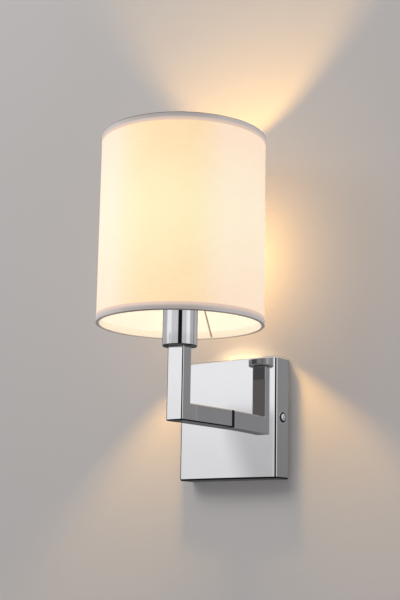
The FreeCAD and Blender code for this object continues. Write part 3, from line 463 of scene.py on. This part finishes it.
MATERIALS = {
    "chrome_plate": chrome("polished chrome", linear(244, 244, 246), linear(238, 238, 241)),
    "chrome_screw": chrome("plated screw", linear(238, 238, 240), linear(230, 230, 234)),
    "zinc_steel": brushed_plate(),
    "plain_steel": metal("turned steel", linear(176, 176, 178), 0.25, 0.15, FINE_DEPTH),
    "brass": metal("turned brass", linear(214, 176, 102), 0.22, 0.15, FINE_DEPTH),
    "terminal_plastic": moulded("milky nylon", linear(226, 222, 208), 0.38,
                                Subsurface_Weight=0.15),
    "holder_plastic": moulded("white holder plastic", linear(232, 228, 216), 0.40),
    "ring_plastic": moulded("white ring plastic", linear(234, 230, 219), 0.36),
    "shade_cloth": shade_cloth(),
    "shade_foil": shade_lining(),
    "hem_tape": hem_tape(),
    # The spokes' white enamel is tinted tan as painted shade, the shade of a wire lit from behind.
    "white_wire": moulded("white enamel with painted shade", linear(226, 196, 164), 0.32, Coat_Weight=0.3),
    "live_sleeve": moulded("brown sleeve", linear(98, 56, 34), 0.42),
    "neutral_sleeve": moulded("blue sleeve", linear(38, 84, 158), 0.42),
    "earth_sleeve": earth_sleeve(),
    "cap_metal": metal("pressed cap metal", linear(206, 204, 200), 0.22, 0.12),
    "black_glass": black_glass(),
    "bulb_plastic": moulded("white bulb plastic", linear(240, 238, 232), 0.35),
    "board_metal": moulded("white board coating", linear(236, 236, 232), 0.45),
    "chip_resin": moulded("yellow phosphor", linear(240, 214, 96), 0.5),
    "opal_globe": opal_globe(),
    "black_fibre": moulded("black fibre", linear(34, 32, 31), 0.85),
}


# Meshes: each piece is drawn from a bmesh, round its own origin or in place.

SMOOTH_TO = math.radians(32)
SHARP_FROM = math.radians(40)
ROUND_THE_BULB = []


def drawn(name, builder, material):
    """An object of one material with a bmesh's faces."""
    mesh = bpy.data.meshes.new(name)
    builder.to_mesh(mesh)
    builder.free()
    mesh.materials.append(material)
    made = bpy.data.objects.new(name, mesh)
    bpy.context.scene.collection.objects.link(made)
    return made


def finished(name, builder, stands_for, moved=Vector()):
    """A piece that stands for these nodes on their body. Only the fixture shows in mirrors."""
    body, slot = BODY_OF[stands_for[0]], SLOT_OF[stands_for[0]]
    bmesh.ops.translate(builder, verts=builder.verts, vec=moved)
    piece = drawn(name, builder, MATERIALS[slot])
    piece.data.shade_smooth()
    piece.data.set_sharp_from_angle(angle=SMOOTH_TO)
    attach(piece, body)
    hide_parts(*stands_for)
    piece.visible_glossy = body == "fixture"
    if body != "bulb":
        ROUND_THE_BULB.append(piece)
    return piece


def sharp_edges(builder):
    return [edge for edge in builder.edges
            if edge.is_manifold and edge.calc_face_angle() > SHARP_FROM]


# Where the painted dark line runs, a painted reflection of dark surroundings on polished edges:
# away from the flat faces by MIDDLE_OF_EDGE, as a cosine, and not on faces whose normal turns to
# the side by BRIGHT_HALF, or upwards between UPRIGHT and TOPMOST.
MIDDLE_OF_EDGE = math.cos(math.radians(5))
BRIGHT_HALF = math.cos(math.radians(36))
UPRIGHT = 0.1
TOPMOST = 0.75


def rounded(builder, edges, width, segments, tone=0.0):
    """Rounds edges, and gives their middle faces this much of a painted dark line, a painted
    reflection of dark surroundings on polished edges.

    Upright edges keep the half towards the sides bright, and upper edges their lower half."""
    layers = builder.faces.layers.float
    mask = layers.get("painted_dark_edge") or layers.new("painted_dark_edge")
    builder.normal_update()
    flat = [face.normal.copy() for edge in edges for face in edge.link_faces] if tone else []
    made = bmesh.ops.bevel(builder, geom=edges, offset=width, segments=segments, profile=0.5,
                           affect="EDGES", material=-1, clamp_overlap=True)["faces"]
    builder.normal_update()
    for face in made if tone else []:
        steepest = max(face.normal.dot(direction) for direction in flat)
        across, up = abs(face.normal.x), face.normal.z
        bright = UPRIGHT < up < TOPMOST or abs(up) < UPRIGHT and across > BRIGHT_HALF
        face[mask] = tone if steepest < MIDDLE_OF_EDGE and not bright else 0.0


def spun(profile, steps, closed=True):
    """A ring or vessel turned about Z from (radius, height) points."""
    builder = bmesh.new()
    verts = [builder.verts.new((radius, 0, height)) for radius, height in profile]
    edges = [builder.edges.new(pair) for pair in zip(verts, verts[1:])]
    if closed:
        edges.append(builder.edges.new((verts[-1], verts[0])))
    bmesh.ops.spin(builder, geom=verts + edges, cent=(0, 0, 0), axis=(0, 0, 1), angle=math.tau,
                   steps=steps, use_merge=True)
    bmesh.ops.remove_doubles(builder, verts=builder.verts, dist=1e-7)
    bmesh.ops.recalc_face_normals(builder, faces=builder.faces)
    return builder


def block(low, high):
    """A box between two corners, with its faces' normals ready."""
    builder = bmesh.new()
    middle = (Vector(low) + Vector(high)) / 2
    size = Vector(high) - Vector(low)
    bmesh.ops.create_cube(
        builder, size=1, matrix=Matrix.Translation(middle) @ Matrix.Diagonal(size.to_4d()))
    builder.normal_update()
    return builder


def facing(builder, direction):
    """The faces that look this way, to within a few degrees."""
    direction = Vector(direction)
    return [face for face in builder.faces if face.normal.dot(direction) > 0.99]


def pulled(builder, faces, vector):
    """Extrudes faces by a vector."""
    made = bmesh.ops.extrude_face_region(builder, geom=faces)["geom"]
    bmesh.ops.delete(builder, geom=faces, context="FACES_ONLY")
    verts = [item for item in made if isinstance(item, bmesh.types.BMVert)]
    bmesh.ops.translate(builder, verts=verts, vec=vector)
    builder.normal_update()


def wrap_map(piece):
    """A cloth map in metres: round the post's axis, and up."""
    layer = piece.data.uv_layers.new(name="cloth")
    radius = piece.dimensions.x / 2
    for face in piece.data.polygons:
        turn = math.atan2(face.center.y - POST_AXIS.y, face.center.x - POST_AXIS.x)
        for index in face.loop_indices:
            point = piece.data.vertices[piece.data.loops[index].vertex_index].co
            own = math.atan2(point.y - POST_AXIS.y, point.x - POST_AXIS.x)
            own = turn + math.remainder(own - turn, math.tau)
            layer.data[index].uv = (own * radius, point.z)


def evened(piece):
    """Large faces shade flat, and only the rounding between them turns."""
    weights = piece.modifiers.new("even_shading", "WEIGHTED_NORMAL")
    weights.weight = 100
    weights.keep_sharp = True


PLATE_EDGE = 1.7 * MM
PLATE_WALL = 1.2 * MM
CROWN = 2.2 * MM
CROWN_CUTS = 23
BAR_EDGE = 1.2 * MM
EDGE_SEGMENTS = 7


def plate_shell():
    """The pressed plate: slightly crowned, with narrow rounded corners, open to the wall."""
    low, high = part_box("backplate_cover")
    wide = (high.x - low.x) / 2
    builder = block(low, high)
    bmesh.ops.delete(builder, geom=facing(builder, (0, 1, 0)), context="FACES_ONLY")
    # The plate's rounded edges get the painted dark line.
    rounded(builder, sharp_edges(builder), PLATE_EDGE, EDGE_SEGMENTS, tone=1.0)
    level = [edge for edge in builder.edges
             if abs(edge.verts[0].co.x - edge.verts[1].co.x) > wide]
    bmesh.ops.subdivide_edges(builder, edges=level, cuts=CROWN_CUTS, use_grid_fill=True)
    for vert in builder.verts:
        from_wall = (high.y - vert.co.y) / (high.y - low.y)
        vert.co.y += CROWN * from_wall * (vert.co.x / wide) ** 2
    bmesh.ops.recalc_face_normals(builder, faces=builder.faces)
    bmesh.ops.solidify(builder, geom=builder.faces[:], thickness=PLATE_WALL)
    evened(finished("plate_shell", builder, ["backplate_cover"]))


def square_bar():
    """Arm and post as one mitred, welded and polished bar."""
    arm_low, arm_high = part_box("arm_tube")
    post_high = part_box("post_tube")[1]
    builder = block(arm_low, (arm_high.x, post_high.y, arm_high.z))
    pulled(builder, facing(builder, (0, 0, 1)), (0, 0, post_high.z - arm_high.z))
    back = [face for face in facing(builder, (0, 1, 0))
            if face.calc_center_median().z < arm_high.z]
    pulled(builder, back, (0, arm_high.y - post_high.y, 0))
    # The bar's rounded edges get the painted dark line.
    rounded(builder, sharp_edges(builder), BAR_EDGE, EDGE_SEGMENTS, tone=1.0)
    evened(finished("square_bar", builder, ["arm_tube", "post_tube"]))


CUP_WALL = 0.8 * MM
CUP_FLOOR = 1.5 * MM
CUP_HOLE = 4.05 * MM
FOOT_EDGE = 0.7 * MM
LIP_EDGE = 0.3 * MM
CUP_UNDER_PAINTED_SHADE = 0.7


def polished_cup():
    """The turned cup: a bevelled foot, a straight wall and a rolled lip."""
    radius = (cup_high.x - cup_low.x) / 2
    tall = cup_high.z - cup_low.z
    inner = radius - CUP_WALL
    builder = spun([(CUP_HOLE, 0), (radius, 0), (radius, tall), (inner, tall),
                    (inner, CUP_FLOOR), (CUP_HOLE, CUP_FLOOR)], steps=160)
    # The foot and lip get the painted dark edge line, and the flat underside painted shade.
    foot = [edge for edge in sharp_edges(builder) if edge.verts[0].co.z < CUP_FLOOR / 2]
    rounded(builder, foot, FOOT_EDGE, segments=5, tone=0.9)
    rounded(builder, sharp_edges(builder), LIP_EDGE, segments=3, tone=0.5)
    mask = builder.faces.layers.float["painted_dark_edge"]
    for face in facing(builder, (0, 0, -1)):
        face[mask] = CUP_UNDER_PAINTED_SHADE
    finished("polished_cup", builder, ["socket_cup"], POST_AXIS + Vector((0, 0, cup_low.z)))


SHANK_LONG = 9 * MM
SHANK_RADIUS = 2 * MM
FLANGE = 0.6 * MM
FLANGE_PAINTED_DARK = 0.95
BUTTON_RADIUS = 3.3 * MM
BUTTON_RISE = 1.2 * MM


def side_screws():
    """Button screws in the plate's sides: a flange with a painted dark reflection on it, and a
    bright dome.
    """
    low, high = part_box("cover_screws")
    plate_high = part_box("backplate_cover")[1]
    radius = (high.z - low.z) / 2
    dome = [(BUTTON_RADIUS * math.cos(turn), FLANGE + BUTTON_RISE * math.sin(turn))
            for turn in (math.radians(10 * step) for step in range(9))]
    builder = spun([(0, -SHANK_LONG), (SHANK_RADIUS, -SHANK_LONG), (SHANK_RADIUS, 0), (radius, 0),
                    (radius, FLANGE - 0.1 * MM), (radius - 0.2 * MM, FLANGE),
                    *dome, (0, FLANGE + BUTTON_RISE)], steps=48, closed=False)
    mask = builder.faces.layers.float.new("painted_dark_edge")
    # The flange gets the painted dark reflection.
    for face in builder.faces:
        middle = face.calc_center_median()
        on_flange = middle.z > 0 and math.hypot(middle.x, middle.y) > 0.95 * BUTTON_RADIUS
        face[mask] = FLANGE_PAINTED_DARK if on_flange else 0.0
    seat = Vector((plate_high.x, (low.y + high.y) / 2, (low.z + high.z) / 2))
    turned = Matrix.Translation(seat) @ Matrix.Rotation(math.pi / 2, 4, "Y")
    bmesh.ops.transform(builder, matrix=turned, verts=builder.verts)
    twin = bmesh.ops.duplicate(
        builder, geom=builder.verts[:] + builder.edges[:] + builder.faces[:])["geom"]
    faces = [item for item in twin if isinstance(item, bmesh.types.BMFace)]
    verts = [item for item in twin if isinstance(item, bmesh.types.BMVert)]
    bmesh.ops.scale(builder, verts=verts, vec=(-1, 1, 1))
    bmesh.ops.reverse_faces(builder, faces=faces)
    finished("side_screws", builder, ["cover_screws"])


CLOTH_WALL = 0.4 * MM
TAPE_WALL = 0.3 * MM
TAPE_EDGE = 0.14 * MM
DRUM_STEPS = 256


def drum():
    """The shade's cloth and the foil inside it."""
    for name, source in (("drum_cloth", "shade_fabric"), ("drum_foil", "shade_liner")):
        low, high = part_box(source)
        outer = (high.x - low.x) / 2
        inner = outer - CLOTH_WALL
        tall = high.z - low.z
        builder = spun([(inner, 0), (outer, 0), (outer, tall), (inner, tall)], DRUM_STEPS)
        upright = [edge for edge in builder.edges
                   if abs(edge.verts[0].co.z - edge.verts[1].co.z) > tall / 2]
        bmesh.ops.subdivide_edges(builder, edges=upright, cuts=6, use_grid_fill=True)
        wrap_map(finished(name, builder, [source], POST_AXIS + Vector((0, 0, low.z))))


def hem_profile(low, high, wire_low, wire_high, flip):
    """The tape from its outer edge, down over the shade's edge and round the rim wire."""
    outer = (high.x - low.x) / 2
    tall = high.z - low.z
    thick = wire_high.z - wire_low.z
    inside = (wire_high.x - wire_low.x) / 2 - thick - TAPE_WALL
    roll = thick + 2 * TAPE_WALL
    behind_cloth = outer - TAPE_WALL - 2 * CLOTH_WALL
    points = [
        (outer - TAPE_WALL, tall), (outer, tall), (outer, 0), (inside, 0), (inside, roll),
        (behind_cloth - TAPE_WALL, roll), (behind_cloth - TAPE_WALL, tall),
        (behind_cloth, tall), (behind_cloth, roll - TAPE_WALL),
        (inside + TAPE_WALL, roll - TAPE_WALL), (inside + TAPE_WALL, TAPE_WALL),
        (outer - TAPE_WALL, TAPE_WALL)]
    return [(radius, tall - height) for radius, height in points] if flip else points


def hems():
    """The two folded tapes, with the faces marked that look at the bulb, for the tape's painted
    inner light.
    """
    for name, source, wire, flip in (("tape_below", "bottom_hem", "bottom_rim_wire", False),
                                     ("tape_above", "top_hem", "top_rim_wire", True)):
        low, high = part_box(source)
        builder = spun(hem_profile(low, high, *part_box(wire), flip), DRUM_STEPS)
        rounded(builder, sharp_edges(builder), TAPE_EDGE, segments=2)
        mask = builder.faces.layers.float.new("facing_bulb")
        for face in builder.faces:
            middle = face.calc_center_median().xy
            face[mask] = 1.0 if face.normal.xy.dot(middle) < -middle.length / 2 else 0.0
        wrap_map(finished(name, builder, [source], POST_AXIS + Vector((0, 0, low.z))))


MADE_HERE = {
    "backplate_cover", "cover_screws", "arm_tube", "post_tube", "socket_cup", "shade_fabric",
    "shade_liner", "bottom_hem", "top_hem"}


def smooth_copies():
    """Every other node as a merged copy, so that its curved faces shade smoothly."""
    for name, source in frame["nodes"].items():
        if name in MADE_HERE:
            continue
        builder = bmesh.new()
        builder.from_mesh(source.data)
        bmesh.ops.remove_doubles(builder, verts=builder.verts, dist=1e-6)
        finished(name + "_finish", builder, [name])


# The camera stands where the photograph's does: to the right of the light and below it.

CAMERA_PLACE = Vector((0.69175, -0.93537, -0.12208))
CAMERA_YAW = 0.670
CAMERA_PITCH = 0.201
CAMERA_ROLL = 0.018
FOCAL_PIXELS = 1248.23
FRAME_PIXELS = 600
SENSOR = 36.0


def camera():
    data = bpy.data.cameras.new("camera")
    data.sensor_fit = "VERTICAL"
    data.sensor_height = SENSOR
    data.lens = FOCAL_PIXELS / FRAME_PIXELS * SENSOR
    level = math.cos(CAMERA_PITCH)
    ahead = Vector((-math.sin(CAMERA_YAW) * level, math.cos(CAMERA_YAW) * level,
                    math.sin(CAMERA_PITCH)))
    right = Vector((math.cos(CAMERA_YAW), math.sin(CAMERA_YAW), 0))
    up = right.cross(ahead)
    turned = right * math.cos(CAMERA_ROLL) + up * math.sin(CAMERA_ROLL)
    tilted = up * math.cos(CAMERA_ROLL) - right * math.sin(CAMERA_ROLL)
    made = bpy.data.objects.new("camera", data)
    axes = Matrix((turned, tilted, -ahead)).transposed().to_4x4()
    made.matrix_world = Matrix.Translation(CAMERA_PLACE) @ axes
    bpy.context.scene.collection.objects.link(made)
    bpy.context.scene.camera = made


BACKDROP_HALF = 4.0
BACKDROP_GAP = 0.4 * MM
FLOOR_HEIGHT = -0.9


def backdrop_paint():
    """Matt paint on the side that faces the room, and clear from behind."""
    material, tree, shader, position = new_material("backdrop paint")
    skin = placed(tree, SKIN, Position=position, Mottle_scale=4.0)
    feed_named(tree, shader, Roughness=0.9, Specular_IOR_Level=0.2,
               Base_Color=mixed(tree, skin["Tone"], linear(164, 161, 162), linear(159, 157, 156)))
    behind = node(tree, "ShaderNodeNewGeometry").outputs["Backfacing"]
    clear = node(tree, "ShaderNodeBsdfTransparent").outputs[0]
    choice = node(tree, "ShaderNodeMixShader", {0: behind, 1: shader.outputs[0], 2: clear})
    tree.links.new(choice.outputs[0], tree.nodes["Material Output"].inputs["Surface"])
    return material


def backdrop():
    """A plain wall just behind the plate and a plain floor well below."""
    paint = backdrop_paint()
    for name, place, turn in (
            ("wall", (0, BACKDROP_GAP, 0), Matrix.Rotation(math.pi / 2, 4, "X")),
            ("floor", (0, -BACKDROP_HALF, FLOOR_HEIGHT), Matrix.Identity(4))):
        builder = bmesh.new()
        bmesh.ops.create_grid(builder, x_segments=1, y_segments=1, size=BACKDROP_HALF,
                              matrix=Matrix.Translation(place) @ turn)
        made = drawn(name, builder, paint)
        made.visible_glossy = made.visible_diffuse = made.visible_shadow = False
        made.visible_transmission = False


# What metal mirrors: a grey room with soft boxes. Angles are in degrees, along the horizon from
# the middle of a dark screen, and climbs are degrees above the horizon. Each part is laid over
# the parts before it.

SCREEN_HEADING = -50.7
ROOM_LEVEL = 0.62

# Upright bands: centre, half width, soft edge and level.
BANDS = [
    (110.0, 42.0, 10.0, 0.46),
    (104.0, 5.0, 5.0, 0.25),
    (-120.0, 22.0, 10.0, 0.46),
    (-77.0, 18.0, 10.0, 0.90),
    (56.0, 13.0, 10.0, 0.90)]

# The soft box at -77 is dimmer low down, on one side of a line that leans.
DIP_LEVEL = 0.59
DIP_LEAN = 1.8
DIP_LINE = (-69.7, -61.9)
DIP_TOP = (6.9, 6.1)
DIP_BAND = (-70.8, 6.2, 3.0)

# Shares of darkness between two climbs: everywhere, and low down in a second mirroring.
LOW_DARKNESS = (3.0, 8.5, 0.16, 0.0)
SECOND_LOW_DARKNESS = (-3.8, -5.2, 0.0, 0.68)
SECOND_DARKNESS = 0.45

SCREEN_BAND = (0.0, 13.0, 3.0)
SCREEN_TONE = grey(0.01)
SECOND_SCREEN_TONE = grey(0.26)

# Climbs from which a tone begins and is full.
CEILING = ((24.0, 32.0), (0.95, 0.72, 0.46, 1.0))
SKY = ((36.0, 44.0), grey(0.75))
GROUND = ((-16.0, -22.0), grey(0.28))

BACK_ANGLES = (140.0, 160.0)
BACK_TONE = grey(0.07)

# Ray depths beyond which a ray has met two mirrors, and three.
SECOND_DEPTH = 2.5
THIRD_DEPTH = 3.5
THIRD_TONE = (0.14, 0.125, 0.115, 1.0)

FILL = grey(0.62)
BACKGROUND = linear(182, 179, 178)


def soft_band(tree, angle, centre, half_width, edge):
    """A mask along the horizon: 1 inside the band and 0 outside."""
    away = distance(tree, angle, centre)
    return mapped(tree, away, half_width - edge / 2, half_width + edge / 2, 1.0, 0.0)


def studio():
    """The room that metal mirrors, an even fill for everything else, and a plain background."""
    world = bpy.data.worlds.new("studio")
    bpy.context.scene.world = world
    world.use_nodes = True
    tree = world.node_tree
    way = split(tree, node(tree, "ShaderNodeTexCoord").outputs["Generated"])
    heading = math_node(tree, "DEGREES", math_node(tree, "ARCTAN2", way["Y"], way["X"]))
    turned = math_node(tree, "SUBTRACT", heading, SCREEN_HEADING)
    angle = math_node(tree, "WRAP", turned, 180.0, -180.0)
    climb = math_node(tree, "DEGREES", math_node(tree, "ARCSINE", way["Z"]))
    rays = node(tree, "ShaderNodeLightPath").outputs
    second = math_node(tree, "GREATER_THAN", rays["Ray Depth"], SECOND_DEPTH)
    third = math_node(tree, "GREATER_THAN", rays["Ray Depth"], THIRD_DEPTH)

    level = grey(ROOM_LEVEL)
    for centre, half_width, edge, tone in BANDS:
        band = soft_band(tree, angle, centre, half_width, edge)
        level = mixed(tree, band, level, grey(tone))

    leaning = math_node(tree, "ADD", angle, math_node(tree, "MULTIPLY", climb, DIP_LEAN))
    dip = math_node(tree, "MULTIPLY", mapped(tree, leaning, *DIP_LINE),
                    mapped(tree, climb, *DIP_TOP))
    dip = math_node(tree, "MULTIPLY", dip, soft_band(tree, angle, *DIP_BAND))
    level = mixed(tree, dip, level, grey(DIP_LEVEL))

    level = mixed(tree, mapped(tree, climb, *LOW_DARKNESS), level, BLACK)
    level = mixed(tree, math_node(tree, "MULTIPLY", second, SECOND_DARKNESS), level, BLACK)
    low = math_node(tree, "MULTIPLY", second, mapped(tree, climb, *SECOND_LOW_DARKNESS))
    level = mixed(tree, low, level, BLACK)

    screen = mixed(tree, second, SCREEN_TONE, SECOND_SCREEN_TONE)
    level = mixed(tree, soft_band(tree, angle, *SCREEN_BAND), level, screen)
    for climbs, tone in (CEILING, SKY):
        level = mixed(tree, mapped(tree, climb, *climbs), level, tone)
    back = mapped(tree, math_node(tree, "ABSOLUTE", angle), *BACK_ANGLES)
    level = mixed(tree, back, level, BACK_TONE)
    level = mixed(tree, mapped(tree, climb, *GROUND[0]), level, GROUND[1])
    level = mixed(tree, third, level, THIRD_TONE)

    seen = mixed(tree, rays["Is Glossy Ray"], FILL, level)
    seen = mixed(tree, rays["Is Camera Ray"], seen, BACKGROUND)
    tree.links.new(seen, tree.nodes["Background"].inputs["Color"])


def named_group(name, *objects):
    group = bpy.data.collections.new(name)
    for item in objects:
        group.objects.link(item)
    return group


def new_lamp(name, kind, place, way=None, **settings):
    """A lamp at a place, shining along a way, with these settings."""
    data = bpy.data.lights.new(name, kind)
    for setting, value in settings.items():
        setattr(data, setting, value)
    made = bpy.data.objects.new(name, data)
    made.matrix_world = Matrix.Translation(place)
    if way:
        made.matrix_world @= way.to_track_quat("-Z", "Y").to_matrix().to_4x4()
    bpy.context.scene.collection.objects.link(made)
    return made


SOFT_AIM = Vector((0, -0.09, 0.1))
SOFT_SIZE = 1.4
SOFT_COLOUR = (1.0, 0.98, 0.96)


def soft_lamp(name, power, place):
    """A large soft lamp from the upper left, which metal doesn't mirror."""
    made = new_lamp(name, "AREA", Vector(place), SOFT_AIM - Vector(place), shape="DISK",
                    size=SOFT_SIZE, energy=power, color=SOFT_COLOUR)
    made.visible_glossy = False
    return made


BEAM = math.radians(54)


def wall_glow(name, place, power, colour, softness, lit, shaded_by, aim=None):
    """The bulb's light on the backdrop alone: all round, or in a soft beam towards a point."""
    settings = {"energy": power, "color": colour, "shadow_soft_size": softness}
    if aim:
        made = new_lamp(name, "SPOT", place, Vector(aim) - place, spot_size=BEAM, spot_blend=1.0,
                        **settings)
    else:
        made = new_lamp(name, "POINT", place, **settings)
    made.light_linking.receiver_collection = lit
    made.light_linking.blocker_collection = shaded_by


def plate_on_the_wall(lit):
    """The bulb's light that the plate's top throws up the wall just above it."""
    plate_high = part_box("backplate_cover")[1]
    made = new_lamp("plate's top on the wall", "AREA",
                    Vector((4 * MM, -16 * MM, plate_high.z + 3 * MM)), Vector((0, 1, 0.35)),
                    shape="ELLIPSE", size=54 * MM, size_y=6 * MM, energy=0.0068,
                    color=(1.0, 0.77, 0.46))
    made.visible_glossy = False
    made.visible_camera = False
    made.light_linking.receiver_collection = lit


def bulb_on_the_wall():
    """Straight from the globe through the shade's openings, and softly through its cloth."""
    lit = named_group("lit walls", bpy.data.objects["wall"], bpy.data.objects["floor"])
    round_bulb = named_group("round the bulb", *ROUND_THE_BULB)
    plate_alone = named_group("plate alone", bpy.data.objects["plate_shell"])
    shade_alone = named_group("shade alone", *[
        piece for piece in ROUND_THE_BULB if piece.name.startswith(("drum", "tape"))])
    wall_glow("bulb on the wall", POST_AXIS + Vector((-3 * MM, 0, GLOBE_MIDDLE - 17 * MM)),
              power=5.3, colour=(1.0, 0.57, 0.14), softness=17 * MM,
              lit=lit, shaded_by=round_bulb)
    wall_glow("foil on the wall", POST_AXIS + Vector((0, 0, 122 * MM)),
              power=0.9, colour=(1.0, 0.72, 0.38), softness=22 * MM,
              lit=lit, shaded_by=shade_alone, aim=(4 * MM, 0, 62 * MM))
    wall_glow("shade on the wall", Vector((0, -55 * MM, SHADE_MIDDLE - 12 * MM)),
              power=0.51, colour=(1.0, 0.54, 0.14), softness=20 * MM,
              lit=lit, shaded_by=plate_alone)
    wash = soft_lamp("wash on the wall", power=32.6, place=(-0.65, -1.8, 1.62))
    wash.light_linking.receiver_collection = lit
    wash.light_linking.blocker_collection = plate_alone
    plate_on_the_wall(lit)


camera()
studio()
soft_lamp("key", power=14.0, place=(-1.5, -1.9, 1.3))
backdrop()
plate_shell()
square_bar()
side_screws()
polished_cup()
drum()
hems()
smooth_copies()
bulb_on_the_wall()

bpy.context.scene.view_settings.view_transform = "Standard"
